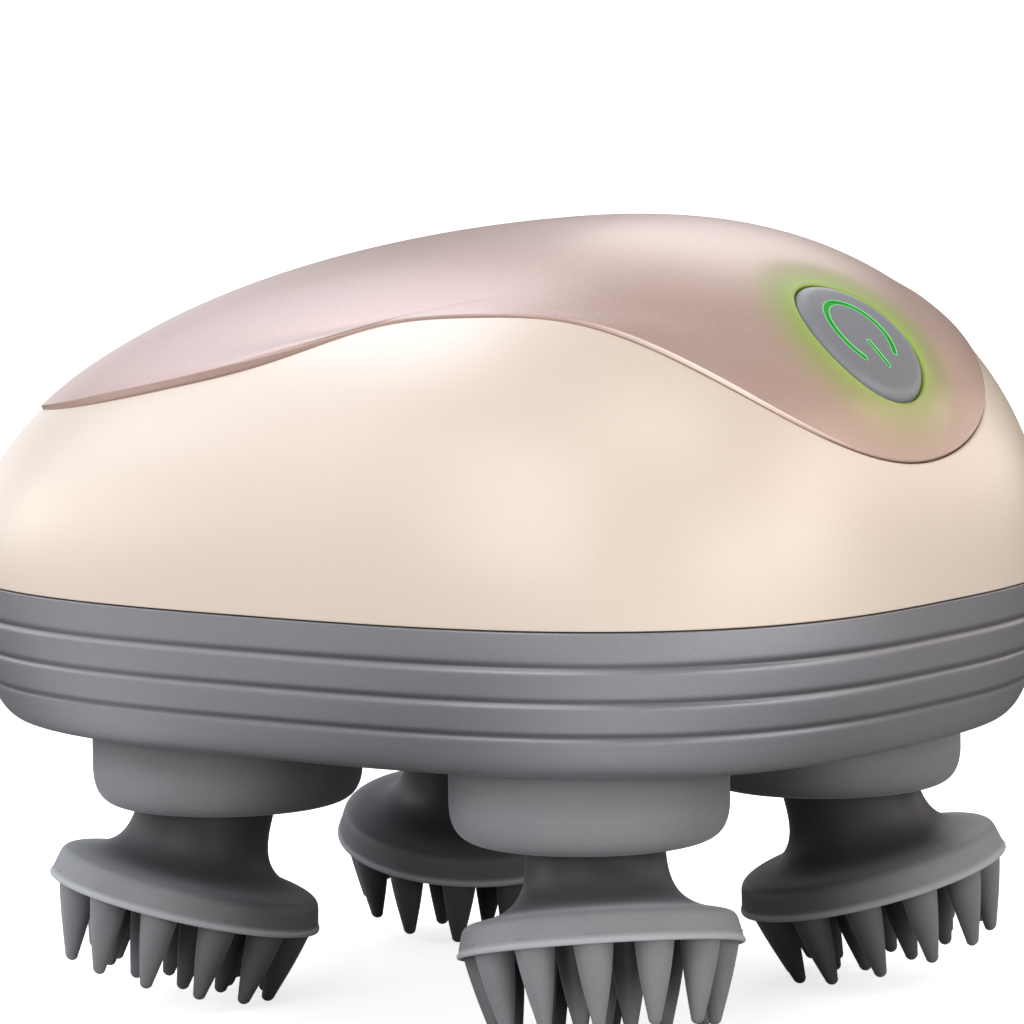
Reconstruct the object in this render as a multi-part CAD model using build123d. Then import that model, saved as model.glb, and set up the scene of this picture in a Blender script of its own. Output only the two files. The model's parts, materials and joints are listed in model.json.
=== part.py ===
from build123d import *
import math
import os

os.makedirs("parts", exist_ok=True)

# ---------------------------------------------------------------- dimensions
# Electric scalp massager: a hand-sized domed body on four rotating heads.
# Millimetres. +X points to the button end, +Y to the left, +Z up. The tooth
# tips stand on z = 0 and the origin is under the middle of the body.
XC = 2.9                # gear centre, ahead of the middle of the body
ZC = 0.17                 # heights below are from a datum a little above the tooth tips

# dome (upper shell and top cover)
AF, AR, BW = 62.6, 68.4, 53.3     # front length, rear length, half width at the seam
Z_SEAM = 52.7                     # bottom edge of the upper shell
H_DOME = 44.3                     # seam to crown
X_CROWN = 16.5                    # crown, ahead of the gear centre
N_SEAM, N_TOP, N_POW = 2.84, 2.31, 1.68   # squareness of the outline, low and high
EGG = -0.036                      # the front is a little narrower than the rear
PROF_F, PROF_R, PROF_W = (0.596, 0.563), (0.757, 0.280), (0.640, 0.630)
WALL = 2.0
# top cover outline: polar cosine series, seen from a point inside the dome
Z_APEX = 40.7
LEAF = (1.4385, -0.2461, 0.5524, 0.1727, 0.1045, 0.0511, 0.0347, 0.0068, 0.0073, -0.0136, -0.0013)
COVER_GAP = 0.12

# band and floor (lower housing)
Z_BAND_TOP = 52.25
Z_BAND_BOT = 34.5
FLOOR_T = 2.2
SEAL_INSET = 0.55
# outside of the band from the bottom up, as inset and height: one rounded foot and three grooves
BAND = ((6.5, 34.5), (4.75, 35.15, 3.5, 37.0), (2.55, 39.0), (2.95, 39.75, 2.05, 40.5), (1.28, 43.2),
        (1.72, 44.0, 0.92, 44.8), (0.45, 47.5), (0.95, 48.3, 0.27, 49.1), (0.1, 52.25))
BAND_INNER = ((2.5, 52.25), (6.0, 36.7))

# heads, cranks and gears
HEAD_X, HEAD_Y = 27.8, 25.166     # crank centres about the gear centre
TILT = 13.84                      # lean of each spindle
GEAR_M, Z_SUN, Z_CRANK = 1.5, 30, 20
Z_GEAR, GEAR_T = 39.8, 4.0
Z_PIVOT = 35.55
HEAD_D = 34.27
S_STEM, S_NECK, S_EDGE, S_RIM, S_ROOT, S_TIP = 7.5, 15.6, 20.3, 24.15, 22.9, 33.75
R_STEM = 8.4
R_TIP = 0.75
PULL_OFF = 12.0

# boots
R_BOOT, R_BOOT_HOLE, Z_BOOT, BOOT_CORNER, BOOT_T = 16.75, 13.0, 24.65, 5.0, 1.8

# button
BTN_X, BTN_Z, BTN_TILT = 50.6, 83.25, 46.1   # centre on the dome, lean of its axis
R_BTN, W_BTN, BTN_GAP = 9.5, 8.5, 0.2              # half length and half width of the oval cap, gap round it
BTN_PROUD = 0.35
BTN_TRAVEL = 0.8

SIDES = {"front_left": (1, 1), "front_right": (1, -1), "rear_left": (-1, 1), "rear_right": (-1, -1)}


# ------------------------------------------------------------------- helpers
def profile(a, b):
    out = []
    for i in range(401):
        s = i / 400
        z = 3 * (1 - s) ** 2 * s * a + 3 * (1 - s) * s * s + s ** 3
        r = (1 - s) ** 3 + 3 * (1 - s) ** 2 * s + 3 * (1 - s) * s * s * b
        out.append((z, r))
    return out


P_F, P_R, P_W = profile(*PROF_F), profile(*PROF_R), profile(*PROF_W)


def at(table, h):
    lo, hi = 0, len(table) - 1
    while hi - lo > 1:
        m = (lo + hi) // 2
        if table[m][0] <= h:
            lo = m
        else:
            hi = m
    (z0, r0), (z1, r1) = table[lo], table[hi]
    return r0 + (r1 - r0) * (h - z0) / max(z1 - z0, 1e-12)


def outline(af, ar, bw, n, z, xc=0.0, egg=0.0, m=44):
    """Points of a squarish egg outline at one height."""
    pts = []
    for i in range(m):
        t = 2 * math.pi * i / m
        c, s = math.cos(t), math.sin(t)
        r = (abs(c) ** n + abs(s) ** n) ** (-1 / n)
        x, y = r * c, r * s
        pts.append((xc + (af if x > 0 else ar) * x, bw * y * (1 + egg * x), z))
    return pts


def ring_wire(pts):
    return Wire([Edge.make_spline([Vector(*p) for p in pts], periodic=True)])


def dome_section(h, d):
    rf, rr, rw = at(P_F, h), at(P_R, h), at(P_W, h)
    xc = X_CROWN * h ** 1.5
    xf = X_CROWN + (AF - d - X_CROWN) * rf - xc
    xr = xc - (X_CROWN - (AR - d + X_CROWN) * rr)
    n = N_SEAM + (N_TOP - N_SEAM) * h ** N_POW
    return outline(xf, xr, (BW - d) * rw, n, Z_SEAM + (H_DOME - d) * h, xc, EGG * (1 - h))


def dome(d):
    """Solid dome, inset by d from the outside of the shell."""
    levels = [0, .07, .16, .27, .39, .51, .63, .74, .84, .915, .965, .99, .9985]
    return Solid.make_loft([ring_wire(dome_section(h, d)) for h in levels])


def arcs():
    """Seam outline as ten tangent arcs: centre, radius, start and end angle, anticlockwise from the front."""
    u, v = (1 - 0.5 ** N_SEAM) ** (1 / N_SEAM), 2 ** (-1 / N_SEAM)
    quarter = {}
    for sgn, a in ((1, AF), (-1, AR)):
        y_mid = BW * u * (1 + sgn * EGG * 0.5)
        r2 = ((0.5 * a) ** 2 + (BW - y_mid) ** 2) / (2 * (BW - y_mid))
        y_half, dx = 0.5 * BW * (1 + sgn * EGG * u), a - a * u
        r1 = (y_half ** 2 + dx ** 2) / (2 * dx)
        c1, c2 = (a - r1, 0.0), (0.0, BW - r2)
        p = (v * a, v * BW * (1 + sgn * EGG * v))
        lo, hi = 6.0, 45.0
        for _ in range(60):
            r = (lo + hi) / 2
            d1, d2 = r1 - r, r2 - r
            dist = math.dist(c1, c2)
            k = (d1 * d1 - d2 * d2 + dist * dist) / (2 * dist)
            h = math.sqrt(max(d1 * d1 - k * k, 0))
            ex, ey = (c2[0] - c1[0]) / dist, (c2[1] - c1[1]) / dist
            c = max(((c1[0] + k * ex + q * h * ey, c1[1] + k * ey - q * h * ex) for q in (1, -1)), key=lambda w: w[0] + w[1])
            beyond = (p[0] - c[0]) * p[0] + (p[1] - c[1]) * p[1] > 0 and math.dist(p, c) > r
            if beyond:
                hi = r
            else:
                lo = r
        quarter[sgn] = (c1, r1, c2, r2, c, r, math.atan2(c[1] - c1[1], c[0] - c1[0]), math.atan2(c[1] - c2[1], c[0] - c2[0]))
    out = []
    c1, r1, c2, r2, c, r, t1, t2 = quarter[1]
    g1, q1, g2, q2, g, q, w1, w2 = quarter[-1]
    hp = math.pi / 2
    out.append((c1, r1, -t1, t1))
    out.append((c, r, t1, t2))
    out.append((c2, r2, t2, hp))
    out.append(((0, g2[1]), q2, hp, math.pi - w2))
    out.append(((-g[0], g[1]), q, math.pi - w2, math.pi - w1))
    out.append(((-g1[0], 0), q1, math.pi - w1, math.pi + w1))
    out.append(((-g[0], -g[1]), q, math.pi + w1, math.pi + w2))
    out.append(((0, -g2[1]), q2, math.pi + w2, 3 * hp))
    out.append(((0, -c2[1]), r2, 3 * hp, 2 * math.pi - t2))
    out.append(((c[0], -c[1]), r, 2 * math.pi - t2, 2 * math.pi - t1))
    return out


ARCS = arcs()


def plate(inset, z0, z1):
    """Flat plate on the seam outline, inset all round."""
    edges = []
    for c, r, a0, a1 in ARCS:
        pts = [Vector(c[0] + (r - inset) * math.cos(a), c[1] + (r - inset) * math.sin(a), z0) for a in (a0, (a0 + a1) / 2, a1)]
        edges.append(Edge.make_three_point_arc(*pts))
    return Solid.extrude(Face(Wire(edges)), Vector(0, 0, z1 - z0))


def band_ring(path):
    """Closed (inset, z) section carried round the seam outline."""
    parts = []
    for c, r, a0, a1 in ARCS:
        edges, p = [], path[0]
        for q in path[1:] + [path[0]]:
            a, e = Vector(r - p[0], 0, p[1]), Vector(r - q[-2], 0, q[-1])
            edges.append(Edge.make_three_point_arc(a, Vector(r - q[0], 0, q[1]), e) if len(q) == 4 else Edge.make_line(a, e))
            p = q[-2:]
        sector = Solid.revolve(Wire(edges), math.degrees(a1 - a0), Axis.Z)
        parts.append(Pos(c[0], c[1], 0) * Rot(0, 0, math.degrees(a0)) * sector)
    return parts[0].fuse(*parts[1:])


def leaf_wire(z, grow):
    """Cover outline on the plane at height z, grown by about grow mm on the dome."""
    pts = []
    for i in range(44):
        t = 2 * math.pi * i / 44
        r = sum(c * math.cos(k * t) for k, c in enumerate(LEAF))
        r = (r + grow / 38.0) * (z - Z_APEX)
        pts.append((r * math.cos(t), r * math.sin(t), z))
    return ring_wire(pts)


def leaf_cone(grow):
    return Solid.make_loft([leaf_wire(Z_APEX + 3, grow), leaf_wire(Z_APEX + 80, grow)], ruled=True)


def rev(path):
    """Revolve a closed (r, z) path about Z. Points are straight runs; a pair of points is an arc."""
    edges, p = [], path[0]
    for q in path[1:] + [path[0]]:
        if len(q) == 4:
            a, b, e = Vector(p[0], 0, p[1]), Vector(q[0], 0, q[1]), Vector(q[2], 0, q[3])
            edges.append(Edge.make_three_point_arc(a, b, e))
            p = (q[2], q[3])
        else:
            if math.dist(p[:2], q) > 1e-9:
                edges.append(Edge.make_line(Vector(p[0], 0, p[1]), Vector(q[0], 0, q[1])))
            p = q
    return Solid.revolve(Wire(edges), 360, Axis.Z)


def cyl(r, z0, z1, x=0.0, y=0.0):
    return Pos(x, y, z0) * Solid.make_cylinder(r, z1 - z0)


def oval(a, b, z0, z1):
    """Upright elliptical prism."""
    face = Face(Wire([Edge.make_ellipse(a, b)]))
    return Pos(0, 0, z0) * Solid.extrude(face, Vector(0, 0, z1 - z0))


def tube(ro, ri, z0, z1, x=0.0, y=0.0):
    return cyl(ro, z0, z1, x, y) - cyl(ri, z0 - 1, z1 + 1, x, y)


def box(x0, x1, y0, y1, z0, z1):
    return Pos(x0, y0, z0) * Solid.make_box(x1 - x0, y1 - y0, z1 - z0)


def solids_of(shape):
    out = []
    for s in (shape if isinstance(shape, (list, tuple)) else [shape]):
        out += list(s.solids())
    return out


def save(name, shape):
    parts = [Pos(XC, 0, ZC) * s for s in solids_of(shape)]
    for s in parts:
        s.color = Color(0.6, 0.6, 0.6)
    obj = parts[0] if len(parts) == 1 else Compound(children=parts)
    obj.label = name
    export_step(obj, f"parts/{name}.step")


def gear_face(z, m, phase, z0, thin=0.06):
    r = m * z / 2
    rb, rt, rr = r * math.cos(math.radians(20)), r + 0.95 * m, r - 1.2 * m
    inv = lambda q: math.tan(math.acos(min(1, rb / q))) - math.acos(min(1, rb / q))
    base = math.pi / 2 / z + inv(r) - thin / r
    half = lambda q: base - inv(max(q, rb))
    lo = max(rr, rb)
    radii = [lo, r, rt]
    pts = []
    for k in range(z):
        c = phase + 2 * math.pi * k / z
        pts.append((rr, c - half(lo) - 0.01))
        pts += [(q, c - half(q)) for q in radii]
        pts += [(q, c + half(q)) for q in reversed(radii)]
        pts.append((rr, c + half(lo) + 0.01))
    return Face(Wire.make_polygon([Vector(q * math.cos(t), q * math.sin(t), z0) for q, t in pts], close=True))


def head_place(sx, sy):
    """Placement whose origin is the pivot and whose -Z runs down the leaning spindle."""
    a = math.atan2(sy * HEAD_Y, sx * HEAD_X)
    t = math.radians(TILT)
    r = Vector(math.cos(a), math.sin(a), 0)
    zdir = r * -math.sin(t) + Vector(0, 0, math.cos(t))
    xdir = r * math.cos(t) + Vector(0, 0, math.sin(t))
    return Location(Plane(origin=(sx * HEAD_X, sy * HEAD_Y, Z_PIVOT), x_dir=xdir, z_dir=zdir)), a


# ------------------------------------------------------------------ the dome
D0, D2, D21, D34 = dome(0), dome(WALL), dome(WALL + 0.06), dome(3.4)
c_in, c_out = leaf_cone(-COVER_GAP / 2), leaf_cone(COVER_GAP / 2)
c_rim, c_core = leaf_cone(3.0), leaf_cone(-4.0)

t = math.radians(BTN_TILT)
BN = Vector(math.sin(t), 0, math.cos(t))          # outward along the button
BTN = Location(Plane(origin=(BTN_X, 0, BTN_Z), x_dir=(math.cos(t), 0, -math.sin(t)), z_dir=BN))
btn_hole = BTN * oval(R_BTN + BTN_GAP, W_BTN + BTN_GAP, -6, 6)

top_cover = ((D0 - D2) & c_in) - btn_hole
save("top_cover", top_cover)

ledge = ((D21 - D34) & c_rim) - c_core
shell = (D0 - D21) - c_out
shell = shell.fuse(ledge) if not isinstance(shell, ShapeList) else shell[0].fuse(ledge)
flange = plate(1.1, Z_SEAM, Z_SEAM + 1.8) - plate(11.0, Z_SEAM - 1, Z_SEAM + 3)
COLUMNS = ((0, 41.5), (0, -41.5), (49.0, 0), (-54.0, 0))
shell = shell.fuse(flange, *[cyl(3.8, Z_SEAM, Z_SEAM + 9, x, y) for x, y in COLUMNS])
for x, y in COLUMNS:
    shell = shell - cyl(1.25, Z_SEAM - 1, Z_SEAM + 7, x, y)
save("upper_shell", shell)

# ----------------------------------------------------------- band and floor
z_fl = Z_BAND_BOT + FLOOR_T
tub = band_ring(list(BAND) + list(BAND_INNER) + [(9.0, z_fl), (9.0, Z_BAND_BOT)])
tub = tub.fuse(plate(8.0, Z_BAND_BOT, z_fl))
tub = tub.fuse(*[cyl(5.0, z_fl - 0.5, 46.0, x, y) for x, y in COLUMNS],
               *[cyl(3.7, 45.9, Z_BAND_TOP, x, y) for x, y in COLUMNS],
               *[cyl(3.0, z_fl - 0.5, 46.0, x, y) for x, y in ((0, 31), (0, -31), (36.5, 0), (-36.5, 0))],
               cyl(6.0, z_fl - 0.5, 39.0))
for sx, sy in SIDES.values():
    tub = tub - cyl(10.63, Z_BAND_BOT - 1, z_fl + 1, sx * HEAD_X, sy * HEAD_Y)
for x, y in COLUMNS:                       # screws from below, heads sunk in the floor
    tub = tub - cyl(1.6, Z_BAND_BOT - 1, Z_BAND_TOP + 1, x, y) - cyl(3.0, Z_BAND_BOT - 1, 38.0, x, y)
for x, y in ((0, 31), (0, -31), (36.5, 0), (-36.5, 0)):
    tub = tub - cyl(1.0, 38.5, 47, x, y)
tub = tub - cyl(3.04, 36.0, 40)
# charging port pocket and strap slot at the rear of the band
PORT_Z = 45.0
PORT_X = -67.0
pocket = Pos(PORT_X + 2.2, 0, PORT_Z) * Rot(0, -90, 0) * extrude(SlotOverall(21.0, 8.0, rotation=90), 8, both=True)
pocket = pocket & box(-75, PORT_X + 2.2, -20, 20, 30, 60)
tub = tub - pocket
STRAP = (-62.6, 24.0)
def strap_frame(shape):
    return Pos(STRAP[0], STRAP[1], 0) * Rot(0, 0, -24) * shape


slot = strap_frame(box(-8.0, 3.6, -4.0, 4.0, 39.9, 44.7))
slot_box = strap_frame(box(-3.0, 5.0, -5.2, 5.2, 38.7, 45.9))      # closes the slot behind the wall
tub = (tub - slot).fuse((slot_box & plate(2.2, 38, 46.5)) - slot)
strap_bar = strap_frame(cyl(1.1, 39.2, 45.4, -0.4, 0))
tub = tub - strap_bar
save("strap_bar", strap_bar)

port_bezel = (Pos(PORT_X + 2.2, 0, PORT_Z) * Rot(0, -90, 0) * extrude(SlotOverall(20.9, 7.9, rotation=90), 2.2))
recess = (Pos(PORT_X + 0.7, 0, PORT_Z) * Rot(0, -90, 0) * extrude(SlotOverall(18.4, 5.6, rotation=90), 4))
port_bezel = port_bezel - recess
contacts, magnets = [], []
for y in (-2.6, 2.6):
    contacts.append(Pos(PORT_X + 2.2, y, PORT_Z) * Rot(0, -90, 0) * cyl(1.2, 0.0, 1.9))
for y in (-6.6, 6.6):
    magnets.append(Pos(PORT_X + 2.2, y, PORT_Z) * Rot(0, -90, 0) * cyl(1.7, 0.0, 1.75))
for s in contacts + magnets:
    port_bezel = port_bezel - s
save("charge_port_bezel", port_bezel)
save("charge_contacts", contacts)
save("port_magnets", magnets)
save("lower_housing", tub)

seal = plate(SEAL_INSET, Z_BAND_TOP, Z_SEAM) - plate(SEAL_INSET + 1.9, Z_BAND_TOP - 1, Z_SEAM + 1)
save("housing_seal", seal)

# ------------------------------------------------- deck, motor, gear train
deck = plate(4.6, 46.0, 48.2)
for x, y in COLUMNS:
    deck = deck - cyl(3.9, 45, 49, x, y)
for sx, sy in SIDES.values():
    deck = deck - cyl(6.53, 45, 49, sx * HEAD_X, sy * HEAD_Y)
for x, y in ((0, 31), (0, -31), (36.5, 0), (-36.5, 0)):
    deck = deck - cyl(1.35, 45, 49, x, y)
deck = deck - cyl(6.0, 45, 49)
pegs = [cyl(1.6, 48.0, 50.4, x, y) for x, y in ((20.5, 17), (20.5, -17), (45, 13), (45, -13))]
deck = deck.fuse(*pegs)
save("gear_deck", deck)

bushings = []
for sx, sy in SIDES.values():
    bushings.append(tube(10.6, 9.05, Z_BAND_BOT, 38.4, sx * HEAD_X, sy * HEAD_Y))
    bushings.append(tube(6.5, 5.05, 45.6, 48.2, sx * HEAD_X, sy * HEAD_Y))
save("crank_bushings", bushings)

gearbox = tube(13.0, 3.06, 48.2, 50.9) .fuse(cyl(13.0, 50.9, 62.0))
gearbox = gearbox.fuse(tube(5.9, 3.06, 46.2, 48.3))
save("gearbox", gearbox)
motor = cyl(12.0, 62.0, 84.0).fuse(cyl(4.0, 84.0, 85.4))
save("motor_can", motor)
save("output_shaft", rev([(0, 37.0), (3.0, 37.0), (3.0, 50.6), (0, 50.6)]))
sun = Solid.extrude(gear_face(Z_SUN, GEAR_M, 0, Z_GEAR), Vector(0, 0, GEAR_T))
sun = sun.fuse(cyl(7.0, Z_GEAR + GEAR_T - 0.1, 45.6)) - cyl(3.01, 30, 50)
for k in range(6):
    a = math.radians(30 + 60 * k)
    sun = sun - cyl(4.2, 30, 50, 13.2 * math.cos(a), 13.2 * math.sin(a))
save("sun_gear", sun)

# head, built upright about the spindle axis, then placed four times
R = HEAD_D / 2
head = rev([(7.0, -S_STEM), (R_STEM, -S_STEM), (R_STEM, -S_NECK), (9.35, -18.15, 12.2, -19.35),
            (15.6, -S_EDGE), (16.55, -20.55, 16.85, -21.5), (R, -23.75), (R, -S_RIM), (R - 0.8, -S_RIM),
            (R - 1.0, -S_ROOT), (0, -S_ROOT), (0, -19.8), (7.0, -19.8)])


def tooth(length, rb, rt):
    """Cone tangent to a ball tip, root at z = 0, pointing down."""
    a = math.atan((rb - rt) / (length - rt))
    b = math.radians(50)
    return rev([(0, 0), (rb, 0), (rt * math.cos(a), -(length - rt) - rt * math.sin(a)),
                (rt * math.cos(b), -(length - rt) - rt * math.sin(b), 0, -length)])


tooth_a, tooth_b = tooth(S_TIP - S_ROOT + 0.45, 2.45, R_TIP), tooth(S_TIP - S_ROOT + 0.45, 2.4, R_TIP)
teeth = []
for count, rad, lean, shape, ph in ((12, 14.3, 7.0, tooth_a, 15.0), (8, 8.3, 3.2, tooth_b, 11.0), (1, 0.0, 0.0, tooth_b, 0.0)):
    for k in range(count):
        a = ph + 360 * k / count
        teeth.append(Rot(0, 0, a) * Pos(rad, 0, -S_ROOT + 0.45) * Rot(0, lean, 0) * shape)
head = head.fuse(*teeth)
core = tube(6.98, 5.56, -19.78, -S_STEM)
spindle = rev([(0, 7.8), (2.6, 7.8), (3.0, 7.4), (3.0, -2.8), (4.6, -2.8), (4.6, -4.4), (3.4, -4.4), (3.4, -S_STEM - 0.3),
               (5.5, -S_STEM - 0.3), (5.5, -17.6), (5.0, -18.6), (0, -18.6)])
bearing = tube(4.58, 3.03, -0.1, 7.5)
boot = rev([(R_BOOT, Z_BAND_BOT), (R_BOOT, Z_BOOT + BOOT_CORNER),
            (R_BOOT - BOOT_CORNER + BOOT_CORNER * math.cos(math.radians(40)), Z_BOOT + BOOT_CORNER - BOOT_CORNER * math.sin(math.radians(40)),
             R_BOOT_HOLE, Z_BOOT + BOOT_CORNER - math.sqrt(BOOT_CORNER ** 2 - (R_BOOT_HOLE - R_BOOT + BOOT_CORNER) ** 2)),
            (R_BOOT_HOLE, Z_BOOT + BOOT_CORNER - math.sqrt((BOOT_CORNER - BOOT_T) ** 2 - (R_BOOT_HOLE - R_BOOT + BOOT_CORNER) ** 2)),
            (R_BOOT - BOOT_CORNER + (BOOT_CORNER - BOOT_T) * math.cos(math.radians(35)), Z_BOOT + BOOT_CORNER - (BOOT_CORNER - BOOT_T) * math.sin(math.radians(35)),
             R_BOOT - BOOT_T, Z_BOOT + BOOT_CORNER), (R_BOOT - BOOT_T, Z_BAND_BOT)])
clamps = []
for name, (sx, sy) in SIDES.items():
    loc, alpha = head_place(sx, sy)
    x, y = sx * HEAD_X, sy * HEAD_Y
    save(f"massage_head_{name}", loc * head)
    save(f"head_core_{name}", loc * core)
    save(f"spindle_{name}", loc * spindle)
    save(f"spindle_bearing_{name}", loc * bearing)
    save(f"boot_{name}", Pos(x, y, 0) * boot)
    clamps.append(tube(14.85, 12.0, 32.4, Z_BAND_BOT, x, y))
    disc = cyl(R_BOOT_HOLE - 0.12, Z_BOOT + 0.16, Z_BOOT + 1.5, x, y) - loc * cyl(R_STEM + 0.3, -30, 10)
    save(f"boot_diaphragm_{name}", disc)
    u = (alpha * Z_SUN / (2 * math.pi)) % 1.0
    beta = alpha + math.pi - (0.5 - u) * 2 * math.pi / Z_CRANK
    crank = Solid.extrude(gear_face(Z_CRANK, GEAR_M, beta, Z_GEAR), Vector(0, 0, GEAR_T))
    crank = Pos(x, y, 0) * crank.fuse(cyl(9.0, 34.2, 45.4), cyl(5.0, 45.3, 48.1))
    crank = crank - loc * cyl(4.6, -8.0, 8.2)
    save(f"crank_gear_{name}", crank)
save("boot_clamps", clamps)

# ------------------------------------------------------------------ fasteners
def screw(r_head, t_head, r_shank, length, r_socket):
    """Pan head screw, head down at z = 0, shank up."""
    s = rev([(0, 0), (r_head - 0.4, 0), (r_head, 0.5), (r_head, t_head), (r_shank, t_head), (r_shank, t_head + length - r_shank), (0, t_head + length)])
    cross = box(-r_socket, r_socket, -0.35, 0.35, -1, 1.0).fuse(box(-0.35, 0.35, -r_socket, r_socket, -1, 1.0))
    return s - cross


save("housing_screws", [Pos(x, y, 36.0) * screw(2.8, 2.0, 1.23, 20.8, 1.7) for x, y in COLUMNS])
save("deck_screws", [Pos(x, y, 50.2) * Rot(180, 0, 0) * screw(2.2, 2.0, 0.98, 7.5, 1.3)
                     for x, y in ((0, 31), (0, -31), (36.5, 0), (-36.5, 0))])

# ------------------------------------------------------------------ electrics
cradle = box(-45.0, -25.0, -27, 27, 48.2, 57.0) - (Pos(-35, 0, 60.0) * Rot(90, 0, 0) * Solid.make_cylinder(9.28, 90).moved(Location((0, 0, -45))))
cradle = cradle - box(-39.2, -31.5, -3, 3, 48.0, 58)
save("battery_cradle", cradle)
cell = Rot(90, 0, 0) * rev([(0, -32.5), (8.6, -32.5), (9.2, -31.9), (9.2, 30.9), (8.6, 31.5), (3.2, 31.5), (3.2, 32.5), (0, 32.5)])
save("battery_cell", Pos(-35, 0, 60.0) * cell)
pcb = box(17.5, 48.0, -20, 20, 50.4, 51.6) - cyl(4.4, 49, 53, 49.0, 0) - cyl(2.5, 49, 53, 36.5, 0)
chips = [box(24, 31, 5, 12, 51.6, 52.6), box(24, 28, -12, -7, 51.6, 52.5), box(40, 44, 8, 14, 51.6, 53.4),
         cyl(3.0, 51.6, 58.0, 23, -16), box(38.5, 44.5, -16, -10, 51.6, 55.0)]
save("control_board", [pcb] + chips)

frame_ring = (BTN * tube(12.8, 10.9, -10.4, 3.0)) & D21
save("button_frame", frame_ring)
save("light_ring", BTN * tube(10.85, 9.72, -5.6, -3.4))
save("button_board", BTN * cyl(10.85, -9.6, -8.2))
switch = Solid.make_box(6, 6, 3.2).moved(Location((-3, -3, 0))) - cyl(1.75, 1.6, 4)
save("tact_switch", BTN * Pos(0, 0, -8.2) * switch)
save("switch_plunger", BTN * cyl(1.68, -5.6, -4.22))
save("status_led", [BTN * Pos(0, y, -8.2) * Solid.make_box(1.6, 1.6, 1.0).moved(Location((-0.8, -0.8, 0))) for y in (-6.5, 6.5)])

DP = dome(-BTN_PROUD)
cap = (BTN * oval(R_BTN, W_BTN, -1.9, 5.0)) & DP
cap = cap.fuse(BTN * cyl(2.1, -4.2, -1.8)) if not isinstance(cap, ShapeList) else cap[0].fuse(BTN * cyl(2.1, -4.2, -1.8))
ring = (oval(5.8, 4.9, -0.6, 3.0) - oval(4.8, 3.9, -2, 4)) - box(0, 8, -2.9, 2.9, -2, 4)
bar = box(1.3, 5.2, -0.45, 0.45, -0.6, 3.0)
icon = [(BTN * Pos(-0.4, 0, 0) * ring) & DP, (BTN * Pos(-0.4, 0, 0) * bar) & DP]
for s in icon:
    cap = cap - s
save("button_icon", icon)
save("power_button", cap)

# leads: round wires in straight runs joined by arcs
def wire(points, radius, r=0.6):
    path = FilletPolyline(*points, radius=radius)
    start = Plane(origin=path @ 0, z_dir=path % 0)
    return sweep(start * Circle(r), path=path)


leads = [wire([(-35, -33.0, 60.0), (-35, -37.0, 60.0), (-18, -37.0, 56.0), (10, -27.0, 55.0), (19.5, -10.0, 52.4)], 1.9),
         wire([(-35, 33.0, 60.0), (-35, 37.0, 60.0), (-18, 37.0, 56.0), (10, 27.0, 55.0), (19.5, 10.0, 52.4)], 1.9)]
save("battery_leads", leads)
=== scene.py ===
import json
import math
import bmesh
import bpy
import numpy as np
from mathutils import Matrix, Vector
from mathutils.geometry import delaunay_2d_cdt


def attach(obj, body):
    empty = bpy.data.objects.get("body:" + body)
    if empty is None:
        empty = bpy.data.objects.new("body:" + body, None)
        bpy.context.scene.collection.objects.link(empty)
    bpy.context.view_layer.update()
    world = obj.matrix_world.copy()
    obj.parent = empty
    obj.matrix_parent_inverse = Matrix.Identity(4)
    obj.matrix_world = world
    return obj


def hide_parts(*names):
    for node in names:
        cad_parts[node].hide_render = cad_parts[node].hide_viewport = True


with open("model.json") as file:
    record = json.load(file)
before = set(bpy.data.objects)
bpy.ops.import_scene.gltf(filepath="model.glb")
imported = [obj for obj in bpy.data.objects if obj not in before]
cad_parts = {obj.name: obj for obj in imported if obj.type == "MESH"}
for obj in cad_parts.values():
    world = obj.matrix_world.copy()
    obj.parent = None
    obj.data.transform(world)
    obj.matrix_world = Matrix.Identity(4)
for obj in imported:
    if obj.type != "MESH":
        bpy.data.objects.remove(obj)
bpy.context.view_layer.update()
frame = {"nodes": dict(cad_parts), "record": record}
scene = bpy.context.scene
NODES = frame["nodes"]
MM = 0.001

# ------------------------------------------------------------------ dimensions (mm, before the shift to the frame)
XC, ZC = 2.9, 0.17
AF, AR, BW = 62.6, 68.4, 53.3
Z_SEAM, H_DOME, X_CROWN = 52.7, 44.3, 16.5
N_SEAM, N_TOP, N_POW, EGG = 2.84, 2.31, 1.68, -0.036
Z_APEX = 40.7
LEAF = (1.4385, -0.2461, 0.5524, 0.1727, 0.1045, 0.0511, 0.0347, 0.0068, 0.0073, -0.0136, -0.0013)
HEAD_X, HEAD_Y, TILT, Z_PIVOT = 27.8, 25.166, 13.84, 35.55
S_STEM, S_ROOT, S_TIP = 7.5, 22.9, 33.75
HEAD_R = 34.27 / 2
BTN_X, BTN_Z, BTN_TILT = 50.6, 83.25, math.radians(46.1)
R_BTN, W_BTN, R_HOLE, W_HOLE, PROUD = 9.5, 8.5, 9.7, 8.7, 0.35
SIDES = {"front_left": (1, 1), "front_right": (1, -1), "rear_left": (-1, 1), "rear_right": (-1, -1)}
COLUMNS = ((0, 41.5), (0, -41.5), (49.0, 0), (-54.0, 0))
TAU = 2 * math.pi


# ------------------------------------------------------------------ the dome as a function
def bezier_profile(a, b):
    s = np.linspace(0, 1, 1601)
    z = 3 * (1 - s) ** 2 * s * a + 3 * (1 - s) * s * s + s ** 3
    r = (1 - s) ** 3 + 3 * (1 - s) ** 2 * s + 3 * (1 - s) * s * s * b
    return z, r


PF, PR, PW = bezier_profile(0.596, 0.563), bezier_profile(0.757, 0.280), bezier_profile(0.640, 0.630)


def unit(a):
    return a / np.maximum(np.linalg.norm(a, axis=-1, keepdims=True), 1e-12)


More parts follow.
